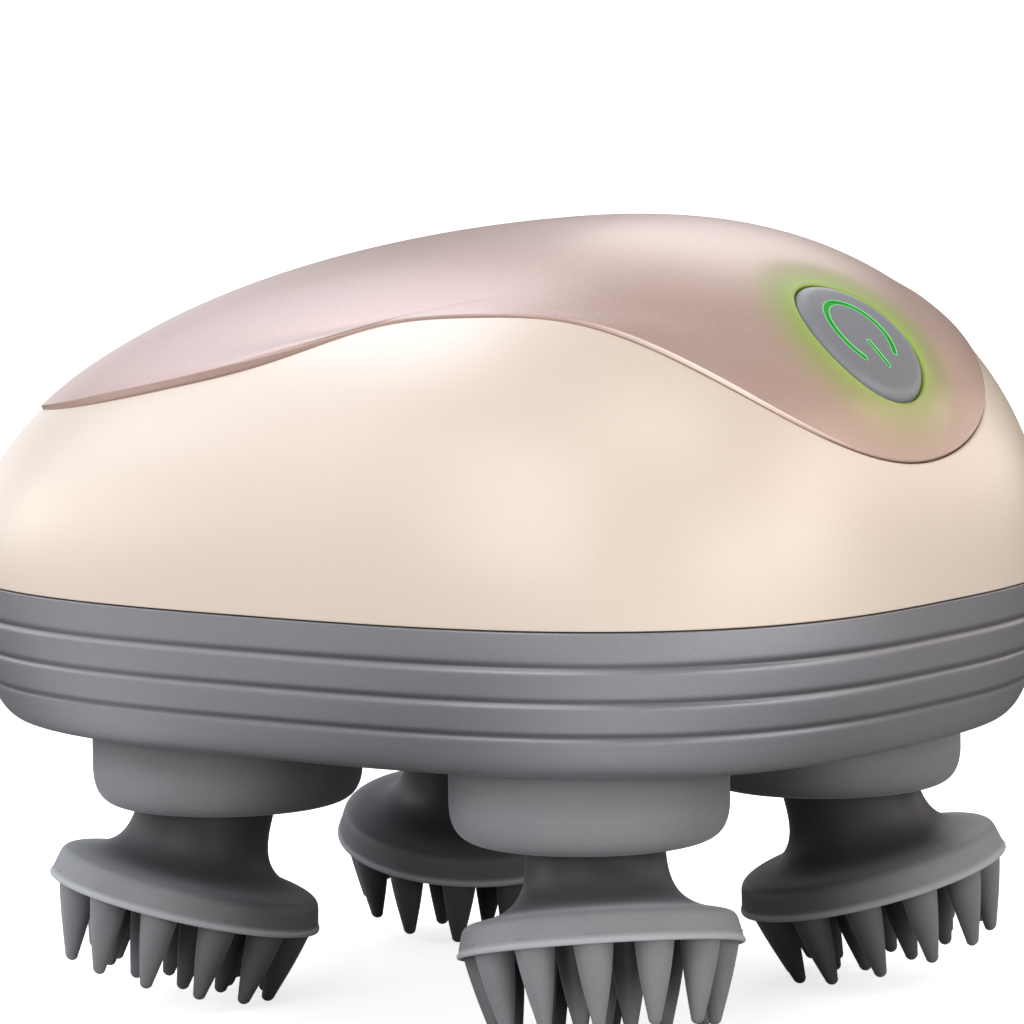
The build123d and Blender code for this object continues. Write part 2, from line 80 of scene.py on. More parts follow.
def dome_f(P, d=0.0):
    """Below zero inside the dome that is inset by d."""
    up = (P[..., 2] - Z_SEAM) / (H_DOME - d)
    h = np.clip(up, 0, 1)
    xc = X_CROWN * h ** 1.5
    xf = np.maximum(X_CROWN + (AF - d - X_CROWN) * np.interp(h, *PF) - xc, 1e-5)
    xr = np.maximum(xc - X_CROWN + (AR - d + X_CROWN) * np.interp(h, *PR), 1e-5)
    n = N_SEAM + (N_TOP - N_SEAM) * h ** N_POW
    x = P[..., 0] - xc
    X = x / np.where(x > 0, xf, xr)
    Y = P[..., 1] / np.maximum((BW - d) * np.interp(h, *PW) * (1 + EGG * (1 - h) * X), 1e-5)
    f = np.minimum(np.abs(X), 50) ** n + np.minimum(np.abs(Y), 50) ** n - 1
    return np.where(up > 1, 1 + up, f)


def dome_hit(O, D, d=0.0, far=160.0):
    """Where rays from inside leave the dome."""
    shape = np.broadcast_shapes(np.shape(O), np.shape(D))[:-1]
    lo, hi = np.zeros(shape), np.full(shape, far)
    for _ in range(38):
        mid = (lo + hi) / 2
        inside = dome_f(O + D * mid[..., None], d) < 0
        lo, hi = np.where(inside, mid, lo), np.where(inside, hi, mid)
    return O + D * lo[..., None]


def dome_normal(P, d=0.0):
    g = np.zeros(P.shape)
    for k in range(3):
        e = np.zeros(3)
        e[k] = 0.02
        g[..., k] = dome_f(P + e, d) - dome_f(P - e, d)
    return unit(g)


APEX = np.array((0.0, 0.0, Z_APEX))
B_AX = np.array((math.sin(BTN_TILT), 0.0, math.cos(BTN_TILT)))
B_E1 = np.array((math.cos(BTN_TILT), 0.0, -math.sin(BTN_TILT)))
B_E2 = np.array((0.0, 1.0, 0.0))
B_C = np.array((BTN_X, 0.0, BTN_Z))


def from_apex(P, d=0.0):
    """P moved along its ray from the apex on to the dome."""
    return dome_hit(APEX, unit(P - APEX), d)


def over_button(u, v, d=0.0):
    """Point of the dome over (u, v) in the button's own plane."""
    O = B_C + B_E1 * np.asarray(u)[..., None] + B_E2 * np.asarray(v)[..., None] - B_AX * 5
    return dome_hit(O, B_AX, d, 12.0)


def swell(P):
    """The cover's low flat rise round the button, as a shift of points on the dome."""
    u, v = (P - B_C) @ B_E1, (P - B_C) @ B_E2
    far = np.hypot(u / R_HOLE, v / W_HOLE)
    return B_AX * ((0.10 + 0.04 * u) * smooth01((1.62 - far) / 0.6))[..., None]


def round_hole(u, v, proud=0.0):
    """Point of the swollen cover over (u, v), or of the cap that stands proud of it."""
    P = over_button(u, v)
    return P + swell(P) + B_AX * proud


def leaf_rho(t, grow=0.0):
    return sum(c * np.cos(k * t) for k, c in enumerate(LEAF)) + grow / 38.0


def leaf_on_dome(t, grow=0.0):
    r = leaf_rho(t, grow)
    return dome_hit(APEX, unit(np.stack([r * np.cos(t), r * np.sin(t), np.ones_like(t)], -1)))


def seam_outline(t, d=0.0):
    """Seam point in direction t from the middle."""
    lo, hi = np.zeros_like(t), np.full_like(t, 100.0)
    for _ in range(46):
        mid = (lo + hi) / 2
        inside = dome_f(np.stack([mid * np.cos(t), mid * np.sin(t), np.full_like(t, Z_SEAM)], -1), d) < 0
        lo, hi = np.where(inside, mid, lo), np.where(inside, hi, mid)
    return np.stack([lo * np.cos(t), lo * np.sin(t)], -1)


def by_length(t, *curves):
    """Parameters spread evenly by the mean of the curves' own lengths, sampled densely round a closed loop; t is not
    used.
    """
    total = 0
    for c in curves:
        step = np.linalg.norm(np.diff(c, axis=0), axis=1)
        run = np.concatenate([[0], np.cumsum(step)])
        total = total + run / run[-1] / len(curves)
    return total


def smooth01(x):
    x = np.clip(x, 0, 1)
    return x * x * (3 - 2 * x)


# ------------------------------------------------------------------ mesh code
class Shape:
    """Vertices in mm and faces, gathered patch by patch."""

    def __init__(self):
        self.v, self.f, self.m, self.n = [], [], [], 0

    def add(self, v, faces, m=0):
        v = np.asarray(v, float).reshape(-1, 3)
        faces = [list(map(int, q)) for q in faces]
        self.f += [[i + self.n for i in q] for q in faces]
        self.m += [m] * len(faces)
        self.v.append(v)
        self.n += len(v)
        return self

    def grid(self, P, wu=False, wv=False, m=0):
        P = np.asarray(P, float)
        nu, nv = P.shape[:2]
        I, J = np.meshgrid(np.arange(nu if wu else nu - 1), np.arange(nv if wv else nv - 1), indexing="ij")
        I2, J2 = (I + 1) % nu, (J + 1) % nv
        q = np.stack([I * nv + J, I2 * nv + J, I2 * nv + J2, I * nv + J2], -1).reshape(-1, 4)
        return self.add(P, q.tolist(), m)

    def lathe(self, path, n=96, m=0, place=None):
        """Open or closed (r, z) path turned about Z."""
        path = np.asarray(path, float)
        a = np.arange(n) * TAU / n
        P = np.stack([np.outer(path[:, 0], np.cos(a)), np.outer(path[:, 0], np.sin(a)), np.repeat(path[:, 1:2], n, 1)], -1)
        if place is not None:
            P = P @ np.array(place[0]).T + np.array(place[1])
        return self.grid(P, wv=True, m=m)

    def fill(self, loops, z, m=0, extra=(), lift=None):
        """Flat face inside the first loop and outside the others; lift maps (x, y) to a 3-D point."""
        pts, edges, k = [], [], 0
        for loop in loops:
            n = len(loop)
            pts += [Vector((float(p[0]), float(p[1]))) for p in loop]
            edges += [(k + i, k + (i + 1) % n) for i in range(n)]
            k += n
        pts += [Vector((float(p[0]), float(p[1]))) for p in extra]
        v, _, f, _, _, _ = delaunay_2d_cdt(pts, edges, [], 1, 1e-7)
        v = np.array([(p.x, p.y) for p in v])
        tri = np.array([q for q in f if len(q) == 3])
        c = v[tri].mean(1)

        def within(loop):
            L = np.asarray(loop)[:, :2]
            x0, y0 = L[:, 0], L[:, 1]
            x1, y1 = np.roll(x0, -1), np.roll(y0, -1)
            cx, cy = c[:, 0][:, None], c[:, 1][:, None]
            cross = (y0 > cy) != (y1 > cy)
            xi = x0 + (cy - y0) * (x1 - x0) / np.where(np.abs(y1 - y0) < 1e-12, 1e-12, y1 - y0)
            return (np.sum(cross & (cx < xi), 1) % 2) == 1

        keep = within(loops[0])
        for loop in loops[1:]:
            keep &= ~within(loop)
        P = np.column_stack([v, np.full(len(v), z)]) if lift is None else lift(v[:, 0], v[:, 1])
        used = np.unique(tri[keep])
        back = np.full(len(v), -1)
        back[used] = np.arange(len(used))
        return self.add(P[used], back[tri[keep]].tolist(), m)


def to_mesh(name, shape, angle=38.0, weld=2e-6, shift=True):
    V = np.concatenate(shape.v)
    V = (V + ((XC, 0, ZC) if shift else (0, 0, 0))) * MM
    me = bpy.data.meshes.new(name)
    me.from_pydata(V.tolist(), [], shape.f)
    me.polygons.foreach_set("material_index", np.array(shape.m, np.int32))
    bm = bmesh.new()
    bm.from_mesh(me)
    bmesh.ops.remove_doubles(bm, verts=bm.verts, dist=weld)
    bmesh.ops.dissolve_degenerate(bm, edges=bm.edges, dist=weld / 2)
    bmesh.ops.recalc_face_normals(bm, faces=bm.faces)
    bm.to_mesh(me)
    bm.free()
    finish_mesh(me, angle)
    return me


def finish_mesh(me, angle):
    me.shade_smooth()
    me.set_sharp_from_angle(angle=math.radians(angle))
    me.update()


def piece(name, shape, body, nodes, mats, angle=38.0, weld=2e-6):
    me = shape if isinstance(shape, bpy.types.Mesh) else to_mesh(name, shape, angle, weld)
    o = bpy.data.objects.new(name, me)
    scene.collection.objects.link(o)
    for m in mats if isinstance(mats, (list, tuple)) else [mats]:
        me.materials.append(m)
    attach(o, body)
    if nodes:
        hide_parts(*nodes)
    return o


def boolean(o, cutter, how="DIFFERENCE", angle=38.0):
    m = o.modifiers.new("cut", "BOOLEAN")
    m.operation, m.solver, m.object = how, "EXACT", cutter
    bpy.context.view_layer.update()
    done = bpy.data.meshes.new_from_object(o.evaluated_get(bpy.context.evaluated_depsgraph_get()))
    o.modifiers.clear()
    old = o.data
    done.name = old.name + "_cut"
    o.data = done
    bpy.data.meshes.remove(old)
    gone = cutter.data
    bpy.data.objects.remove(cutter)
    bpy.data.meshes.remove(gone)
    finish_mesh(o.data, angle)


def loose(name, shape, shift=True):
    me = to_mesh(name, shape, shift=shift)
    o = bpy.data.objects.new(name, me)
    scene.collection.objects.link(o)
    return o


def cubic(p0, p1, p2, p3, n):
    s = np.linspace(0, 1, n)[:, None]
    p0, p1, p2, p3 = map(np.array, (p0, p1, p2, p3))
    return (1 - s) ** 3 * p0 + 3 * (1 - s) ** 2 * s * p1 + 3 * (1 - s) * s * s * p2 + s ** 3 * p3


def arc_pts(c, r, a0, a1, n):
    a = np.radians(np.linspace(a0, a1, n))
    return np.stack([c[0] + r * np.cos(a), c[1] + r * np.sin(a)], -1)


# ------------------------------------------------------------------ materials
def new_mat(name, base, metallic=0.0, rough=0.5, **sockets):
    m = bpy.data.materials.new(name)
    m.use_nodes = True
    nt = m.node_tree
    P = nt.nodes["Principled BSDF"]
    P.inputs["Base Color"].default_value = (*base, 1)
    P.inputs["Metallic"].default_value = metallic
    P.inputs["Roughness"].default_value = rough
    for k, v in sockets.items():
        P.inputs[k.replace("_", " ")].default_value = v
    m.diffuse_color = (*base, 1)
    return m, nt, P


def node(nt, kind, **values):
    n = nt.nodes.new(kind)
    for k, v in values.items():
        if hasattr(n, k):
            setattr(n, k, v)
        else:
            n.inputs[k.replace("_", " ")].default_value = v
    return n


def coords(nt):
    return node(nt, "ShaderNodeTexCoord").outputs["Object"]


def noise(nt, scale, detail=2.0, rough=0.5, vec=None):
    n = node(nt, "ShaderNodeTexNoise")
    n.inputs["Scale"].default_value = scale
    n.inputs["Detail"].default_value = detail
    n.inputs["Roughness"].default_value = rough
    nt.links.new(vec or coords(nt), n.inputs["Vector"])
    return n.outputs["Fac"]


def remap(nt, value, a0, a1, b0, b1, smooth=False):
    n = node(nt, "ShaderNodeMapRange")
    n.interpolation_type = "SMOOTHSTEP" if smooth else "LINEAR"
    for k, v in zip(("From Min", "From Max", "To Min", "To Max"), (a0, a1, b0, b1)):
        n.inputs[k].default_value = v
    nt.links.new(value, n.inputs["Value"])
    return n.outputs["Result"]


def mix(nt, fac, a, b, kind="MIX"):
    n = nt.nodes.new("ShaderNodeMix")
    n.data_type, n.blend_type = "RGBA", kind
    for sock, v in ((n.inputs[0], fac), (n.inputs[6], a), (n.inputs[7], b)):
        if isinstance(v, bpy.types.NodeSocket):
            nt.links.new(v, sock)
        elif isinstance(v, (int, float)):
            sock.default_value = v
        else:
            sock.default_value = (*v, 1)
    return n.outputs[2]


def calc(nt, op, a, b=None):
    n = node(nt, "ShaderNodeMath")
    n.operation = op
    for sock, v in zip(n.inputs, (a, b)):
        if isinstance(v, bpy.types.NodeSocket):
            nt.links.new(v, sock)
        elif v is not None:
            sock.default_value = v
    return n.outputs[0]


def bump(nt, P, height, distance, strength=1.0, coat=False):
    n = node(nt, "ShaderNodeBump")
    n.inputs["Strength"].default_value = strength
    n.inputs["Distance"].default_value = distance
    nt.links.new(height, n.inputs["Height"])
    nt.links.new(n.outputs["Normal"], P.inputs["Normal"])
    return n


def flakes(nt, scale):
    """Random value per small cell, for pearl and metal flake paint."""
    v = node(nt, "ShaderNodeTexVoronoi")
    v.feature = "F1"
    v.inputs["Scale"].default_value = scale
    nt.links.new(coords(nt), v.inputs["Vector"])
    s = node(nt, "ShaderNodeSeparateColor")
    nt.links.new(v.outputs["Color"], s.inputs["Color"])
    return s.outputs[0], s.outputs[1]


def paint(name, base, deep, light, metallic, rough, flake, spark, coat, coat_rough, sheen=0.0):
    """Satin pearl paint: slow cloudy tone, fine flake, a few flakes painted bright as glints, clear coat."""
    m, nt, P = new_mat(name, base, metallic, rough, Coat_Weight=coat, Coat_Roughness=coat_rough, Sheen_Weight=sheen, Sheen_Roughness=0.35)
    r1, r2 = flakes(nt, flake)
    tone = mix(nt, remap(nt, noise(nt, 18, 2), 0.3, 0.7, 0, 1), deep, light)
    tone = mix(nt, 0.6, tone, base)
    grain = mix(nt, remap(nt, r1, 0, 1, 0, 1), (0.90, 0.90, 0.90), (1.10, 1.10, 1.10))
    tone = mix(nt, spark, tone, mix(nt, 1.0, tone, grain, "MULTIPLY"))
    # painted glint: a few flakes are painted near white
    glint = remap(nt, r2, 0.955, 1.0, 0, 1)
    tone = mix(nt, calc(nt, "MULTIPLY", glint, spark * 0.55), tone, (1, 0.98, 0.96))
    nt.links.new(tone, P.inputs["Base Color"])
    rr = remap(nt, r1, 0, 1, rough * 0.90, rough * 1.10)
    nt.links.new(rr, P.inputs["Roughness"])
    bump(nt, P, noise(nt, flake * 0.8, 1), 0.000012, 0.35)
    return m, nt, P, tone


def silicone(name, base, rough=0.52):
    m, nt, P = new_mat(name, base, 0.0, rough, Sheen_Weight=0.35, Sheen_Roughness=0.4)
    P.inputs["Sheen Tint"].default_value = (0.9, 0.92, 1.0, 1)
    P.inputs["Subsurface Weight"].default_value = 0.0
    cloud = remap(nt, noise(nt, 90, 3), 0.3, 0.7, 0, 1)
    fine = remap(nt, noise(nt, 2400, 1), 0.3, 0.7, 0, 1)
    tone = mix(nt, cloud, [c * 0.93 for c in base], [c * 1.07 for c in base])
    tone = mix(nt, calc(nt, "MULTIPLY", fine, 0.35), tone, [c * 1.22 for c in base])
    # painted shade and painted highlight: one vertex attribute paints the silicone darker where shade falls, another
    # paints it paler where light catches an edge
    painted_shade = node(nt, "ShaderNodeAttribute", attribute_name="painted_shade")
    tone = mix(nt, painted_shade.outputs["Fac"], tone, [c * 0.20 for c in base])
    painted_highlight = node(nt, "ShaderNodeAttribute", attribute_name="painted_highlight")
    tone = mix(nt, painted_highlight.outputs["Fac"], tone, [c * 2.3 for c in base])
    nt.links.new(tone, P.inputs["Base Color"])
    nt.links.new(remap(nt, cloud, 0, 1, rough - 0.05, rough + 0.06), P.inputs["Roughness"])
    bump(nt, P, noise(nt, 2600, 2), 0.00002, 0.5)
    return m


def plastic(name, base, rough=0.45, grain=1500, depth=0.00003, metallic=0.0, vary=0.06):
    m, nt, P = new_mat(name, base, metallic, rough)
    cloud = remap(nt, noise(nt, 60, 3), 0.3, 0.7, 0, 1)
    nt.links.new(mix(nt, cloud, [c * (1 - vary) for c in base], [min(1, c * (1 + vary)) for c in base]), P.inputs["Base Color"])
    nt.links.new(remap(nt, cloud, 0, 1, rough * 0.9, rough * 1.1), P.inputs["Roughness"])
    bump(nt, P, noise(nt, grain, 2), depth, 0.5)
    return m


def turned_metal(name, base, rough=0.28, scale=400):
    m, nt, P = new_mat(name, base, 1.0, rough)
    mp = node(nt, "ShaderNodeMapping")
    mp.inputs["Scale"].default_value = (1, 1, 9)
    nt.links.new(coords(nt), mp.inputs["Vector"])
    n = noise(nt, scale, 3, 0.6, mp.outputs["Vector"])
    nt.links.new(mix(nt, remap(nt, n, 0.3, 0.7, 0, 1), [c * 0.9 for c in base], [min(1, c * 1.06) for c in base]), P.inputs["Base Color"])
    nt.links.new(remap(nt, n, 0.3, 0.7, rough * 0.8, rough * 1.25), P.inputs["Roughness"])
    bump(nt, P, n, 0.00001, 0.4)
    return m


# cover: rose gold pearl, with the button's light painted on: a green glow in its colour and emission round the button
ROSE, _nt, _P, _tone = paint("rose_pearl_paint", (0.545, 0.375, 0.325), (0.515, 0.35, 0.30), (0.575, 0.40, 0.35),
                             0.25, 0.44, 5200, 0.34, 1.0, 0.42, 0.0)
_sub = node(_nt, "ShaderNodeVectorMath", operation="SUBTRACT")
_nt.links.new(coords(_nt), _sub.inputs[0])
_sub.inputs[1].default_value = tuple((B_C + (XC, 0, ZC)) * MM)
_crs = node(_nt, "ShaderNodeVectorMath", operation="CROSS_PRODUCT")
_nt.links.new(_sub.outputs[0], _crs.inputs[0])
_crs.inputs[1].default_value = tuple(B_AX)
_len = node(_nt, "ShaderNodeVectorMath", operation="LENGTH")
_nt.links.new(_crs.outputs[0], _len.inputs[0])
_dot = node(_nt, "ShaderNodeVectorMath", operation="DOT_PRODUCT")
_nt.links.new(_sub.outputs[0], _dot.inputs[0])
_dot.inputs[1].default_value = tuple(B_E1)
# painted glow: the cover's colour is mixed towards green near the button, most below it
_near = calc(_nt, "POWER", remap(_nt, _len.outputs["Value"], 0.0090, 0.0172, 1.0, 0.0), 1.6)
_near = calc(_nt, "MULTIPLY", _near, remap(_nt, _dot.outputs["Value"], -0.011, 0.011, 1.35, 0.86))
_near = calc(_nt, "MINIMUM", _near, 0.97)
# painted shade: below the button the cover's colour is painted darker and browner
_painted_shade_below = calc(_nt, "MULTIPLY", remap(_nt, _len.outputs["Value"], 0.009, 0.028, 0.75, 0.0), remap(_nt, _dot.outputs["Value"], -0.004, 0.008, 0.0, 1.0))
_tone = mix(_nt, _painted_shade_below, _tone, (0.43, 0.262, 0.175))
_nt.links.new(mix(_nt, _near, _tone, (0.30, 0.415, 0.065)), _P.inputs["Base Color"])
# painted glow: green emission from the cover round the button, strongest at the hole's edge
_P.inputs["Emission Color"].default_value = (0.52, 0.85, 0.02, 1)
_ring = calc(_nt, "POWER", remap(_nt, _len.outputs["Value"], 0.0086, 0.0118, 1.0, 0.0), 2.0)
_nt.links.new(calc(_nt, "ADD", calc(_nt, "MULTIPLY", _near, 0.02), calc(_nt, "MULTIPLY", _ring, 0.13)), _P.inputs["Emission Strength"])

# the cover's turned edge, with a painted highlight: a pale line, with a faint glow, painted along the edge beside the
# button
ROSE_EDGE, _nt, _P, _tone = paint("rose_edge_paint", (0.535, 0.37, 0.32), (0.505, 0.345, 0.295), (0.565, 0.395, 0.345), 0.15, 0.38, 5200, 0.2, 1.0, 0.30, 0.0)
_sep = node(_nt, "ShaderNodeSeparateXYZ")
_nt.links.new(coords(_nt), _sep.inputs[0])
_painted_edge_highlight = calc(_nt, "MULTIPLY", remap(_nt, _sep.outputs["X"], 0.034, 0.049, 0.0, 1.0), remap(_nt, _sep.outputs["X"], 0.0540, 0.0615, 1.0, 0.0))
_nt.links.new(mix(_nt, _painted_edge_highlight, _tone, (0.92, 0.80, 0.74)), _P.inputs["Base Color"])
_P.inputs["Emission Color"].default_value = (1.0, 0.9, 0.84, 1)
_nt.links.new(calc(_nt, "MULTIPLY", _painted_edge_highlight, 0.07), _P.inputs["Emission Strength"])

CHAMPAGNE = paint("champagne_satin_paint", (0.79, 0.655, 0.545), (0.775, 0.64, 0.53), (0.805, 0.67, 0.56),
                  0.05, 0.43, 6500, 0.10, 1.0, 0.39)[0]
BAND, _nt, _P, _tone = paint("grey_metal_paint", (0.30, 0.298, 0.318), (0.292, 0.29, 0.308), (0.308, 0.306, 0.328),
                             0.75, 0.46, 6500, 0.12, 0.2, 0.35)
# painted shade: dark lines painted down in the three grooves
GROOVES = (48.35, 44.15, 39.95)
_sep = node(_nt, "ShaderNodeSeparateXYZ")
_nt.links.new(coords(_nt), _sep.inputs[0])
_groove_shade = None
for _z in GROOVES:
    _off = calc(_nt, "ABSOLUTE", calc(_nt, "SUBTRACT", _sep.outputs["Z"], (_z + ZC + 0.10) * MM))
    _g = remap(_nt, _off, 0.0001, 0.0007, 1.0, 0.0)
    _groove_shade = _g if _groove_shade is None else calc(_nt, "MAXIMUM", _groove_shade, _g)
_nt.links.new(mix(_nt, calc(_nt, "MULTIPLY", _groove_shade, 0.62), _tone, (0.075, 0.074, 0.080)), _P.inputs["Base Color"])
RUBBER = silicone("silicone_grey", (0.218, 0.220, 0.229))
RUBBER_BTN = silicone("button_rubber", (0.175, 0.178, 0.195), 0.46)
SEAL = plastic("seal_dark_rubber", (0.030, 0.018, 0.014), 0.6)
BLACK = plastic("black_plastic", (0.02, 0.02, 0.022), 0.5)
GREEN, _nt, _P = new_mat("lit_icon_green", (0.02, 0.20, 0.03), 0.0, 0.4)
_g = mix(_nt, remap(_nt, noise(_nt, 300, 2), 0.3, 0.7, 0, 1), (0.012, 0.36, 0.022), (0.022, 0.46, 0.035))
_nt.links.new(_g, _P.inputs["Emission Color"])
_P.inputs["Emission Strength"].default_value = 0.48
GREEN_EDGE, _nt, _P = new_mat("lit_icon_edge", (0.25, 0.6, 0.3), 0.0, 0.4)
_g = mix(_nt, remap(_nt, noise(_nt, 400, 2), 0.3, 0.7, 0, 1), (0.18, 0.62, 0.22), (0.26, 0.74, 0.30))
_nt.links.new(_g, _P.inputs["Emission Color"])
_P.inputs["Emission Strength"].default_value = 0.50

SLOT_MATS = {
    "dark_seal": SEAL, "black_plastic": BLACK, "silicone_grey": RUBBER,
    "rose_cover": ROSE, "champagne_shell": CHAMPAGNE, "grey_band": BAND,
    "light_diffuser": plastic("light_diffuser", (0.75, 0.80, 0.74), 0.35, 900),
    "circuit_board": plastic("circuit_board", (0.02, 0.13, 0.05), 0.4, 700, 0.00004, 0.0, 0.2),
    "led_lens": plastic("led_lens", (0.62, 0.85, 0.55), 0.2, 800),
    "cell_wrap": plastic("cell_wrap", (0.03, 0.12, 0.34), 0.3, 500, 0.00004, 0.0, 0.15),
    "lead_sleeve": plastic("lead_sleeve", (0.45, 0.02, 0.02), 0.45),
    "motor_steel": turned_metal("motor_steel", (0.60, 0.60, 0.61), 0.30),
    "gearbox_steel": turned_metal("gearbox_steel", (0.42, 0.42, 0.44), 0.38),
    "bronze": turned_metal("bronze", (0.55, 0.36, 0.16), 0.35),
    "white_nylon": plastic("white_nylon", (0.78, 0.77, 0.73), 0.4),
    "screw_steel": turned_metal("screw_steel", (0.36, 0.36, 0.37), 0.30),
    "port_plastic": plastic("port_plastic", (0.035, 0.035, 0.038), 0.35),
    "gold_contact": turned_metal("gold_contact", (0.86, 0.62, 0.24), 0.22),
    "magnet_plate": turned_metal("magnet_plate", (0.66, 0.66, 0.68), 0.18),
    "button_rubber": RUBBER_BTN, "icon_green": GREEN,
    "shaft_steel": turned_metal("shaft_steel", (0.62, 0.62, 0.63), 0.22),
    "gear_resin": plastic("gear_resin", (0.80, 0.76, 0.64), 0.42),
}

# ------------------------------------------------------------------ top cover
N_PHI = 560
_t = np.linspace(0, TAU, 6001)


def raise_at(B):
    """How far the cover stands above the shell along its edge: a proud lip at the rear sides, a little sunk beside the button."""
    knots = np.array([(-66, 0.22), (-50, 0.32), (-40, 0.62), (-31, 0.86), (-10, 0.86), (-2, 0.42), (5, 0.12), (28, 0.10), (36, 0.34), (50, 0.40),
                      (55, 0.20), (58, 0.0), (61, -0.16)])
    x = np.linspace(-70, 64, 400)
    y = np.convolve(np.pad(np.interp(x, knots[:, 0], knots[:, 1]), 9, "edge"), np.hanning(21)[1:-1] / np.hanning(21).sum(), "valid")
    return np.interp(B[:, 0], x, y)


def cover():
    run = by_length(_t, leaf_on_dome(_t))
    t = np.interp(np.arange(N_PHI) / N_PHI, run, _t)
    B = leaf_on_dome(t, -0.07)
    N = dome_normal(B)
    T = unit(np.roll(B, -1, 0) - np.roll(B, 1, 0))
    M = unit(np.cross(N, T))
    lift = raise_at(B)[:, None]
    polar = np.unwrap(np.arctan2(B[:, 1], (B - B_C) @ B_E1 * 1.0))
    phi = 0.3 * polar + 0.7 * np.arange(N_PHI) * TAU / N_PHI
    rows = []
    # edge of the button hole
    rh = 0.3
    hole = round_hole(R_HOLE * np.cos(phi), W_HOLE * np.sin(phi))
    rows.append(hole - B_AX * 1.95)
    rows.append(hole - B_AX * 1.0)
    for a in np.linspace(90, 0, 7):
        s = rh * (1 - math.sin(math.radians(a)))
        rows.append(round_hole((R_HOLE + s) * np.cos(phi), (W_HOLE + s) * np.sin(phi)) - B_AX * rh * (1 - math.cos(math.radians(a))))
    r0 = over_button((R_HOLE + rh) * np.cos(phi), (W_HOLE + rh) * np.sin(phi))
    # edge of the cover, rows from the face to the wall
    proud = np.clip(lift, 0, None)
    re = 0.30 - 0.14 * np.clip(proud / 0.85, 0, 1)
    lean = 0.42 * proud
    rim = []
    for a in np.linspace(0, 90, 8):
        s = lean + re * (1 - math.sin(math.radians(a)))
        q = from_apex(B + M * s)
        rim.append(q + N * (lift - re * (1 - math.cos(math.radians(a)))))
    rim.append(B + M * (lean * 0.5) + N * ((lift - re) * 0.5 - 0.1))
    g0, g1 = r0 - APEX, from_apex(B + M * (lean + re)) - APEX
    g0, g1 = g0[:, :2] / g0[:, 2:], g1[:, :2] / g1[:, 2:]
    w = np.linspace(0, 1, 132)[1:-1]
    w = 0.5 * w + 0.5 * w * w * (3 - 2 * w)
    G = g0[None] + (g1 - g0)[None] * w[:, None, None]
    P = dome_hit(APEX, unit(np.concatenate([G, np.ones(G.shape[:2] + (1,))], -1)))
    NN = dome_normal(P)
    dist = np.linalg.norm(P - B[None], axis=-1)
    P2 = P + swell(P) + NN * (lift[None] * smooth01(1 - dist / 18.0)[..., None])
    wall = [B - N * 0.2, B - N * 1.95]
    inner = [P[k] - NN[k] * 1.95 for k in range(len(P) - 1, -1, -4)]
    face = rows + list(P2) + rim[:1]
    s = Shape().grid(np.array(face), wv=True)
    s.grid(np.array(rim), wv=True, m=1)
    return s.grid(np.array(rim[-1:] + wall + inner + rows[:1]), wv=True)


piece("cover_shell", cover(), "housing", ["top_cover"], [ROSE, ROSE_EDGE], 50)


# ------------------------------------------------------------------ upper shell
def shell():
    dense_leaf, dense_seam = leaf_on_dome(_t), np.column_stack([seam_outline(_t), np.full(len(_t), Z_SEAM)])
    run = by_length(_t, dense_leaf, dense_seam)
    n = 760
    t = np.interp(np.arange(n) / n, run, _t)
    front = smooth01((leaf_on_dome(t)[:, 0] - 50) / 12)
    B = np.empty((n, 3))
    r = leaf_rho(t, 0.07) + front * 0.42 / 38
    B = dome_hit(APEX, unit(np.stack([r * np.cos(t), r * np.sin(t), np.ones_like(t)], -1)))
    N = dome_normal(B)
    T = unit(np.roll(B, -1, 0) - np.roll(B, 1, 0))
    M = unit(np.cross(N, T))
    re = 0.34
    edge = []
    for a in np.linspace(90, 0, 8):
        s = re * (1 - math.sin(math.radians(a)))
        edge.append(from_apex(B - M * s) - N * re * (1 - math.cos(math.radians(a))))
    start = edge[-1] - APEX
    th0 = np.arctan2(np.hypot(start[:, 0], start[:, 1]), start[:, 2])
    t0 = np.unwrap(np.arctan2(start[:, 1], start[:, 0]))
    rs = 0.16
    zb = Z_SEAM - 0.05
    out = seam_outline(t)
    th1 = np.arctan2(np.hypot(out[:, 0], out[:, 1]), zb + rs - Z_APEX)
    w = np.linspace(0, 1, 150)[1:]
    th = th0[None] + (th1 - th0)[None] * w[:, None]
    tt = t0[None] + (t - t0)[None] * w[:, None]
    D = np.stack([np.sin(th) * np.cos(tt), np.sin(th) * np.sin(tt), np.cos(th)], -1)
    P = dome_hit(APEX, D)
    # bottom edge
    O = unit(np.column_stack([dome_normal(np.column_stack([out, np.full(n, Z_SEAM + 0.5)]))[:, :2], np.zeros(n)]))
    foot = []
    S = np.column_stack([out, np.full(n, zb)])
    for a in np.linspace(15, 90, 6):
        foot.append(S - O * rs * (1 - math.cos(math.radians(a))) + np.array((0, 0, rs * (1 - math.sin(math.radians(a))))))
    foot.append(S - O * 2.06)
    # inside, up to the ledge under the cover and round it
    inner = [P[k] - dome_normal(P[k]) * 2.06 for k in range(len(P) - 1, 4, -5)]
    B3 = from_apex(B - M * 3.0)
    ledge = [B3 - N * 2.2, B3 - N * 3.4, from_apex(B + M * 3.6) - N * 3.4, from_apex(B + M * 3.6) - N * 2.12, B - N * 2.12, B - N * 1.0]
    return Shape().grid(np.array(edge + list(P) + foot + inner + ledge), wu=True, wv=True)


piece("body_shell", shell(), "housing", ["upper_shell"], CHAMPAGNE, 50)

# ------------------------------------------------------------------ band and floor
N_BAND = 960
_seam = seam_outline(_t)
_run = by_length(_t, _seam)
T_BAND = np.interp(np.arange(N_BAND) / N_BAND, _run, _t)
OUT = seam_outline(T_BAND)
OUT_N = unit(dome_normal(np.column_stack([OUT, np.full(N_BAND, Z_SEAM - 1)]))[:, :2])


def loop_at(inset, z):
    return np.column_stack([OUT - OUT_N * inset, np.full(N_BAND, z)])


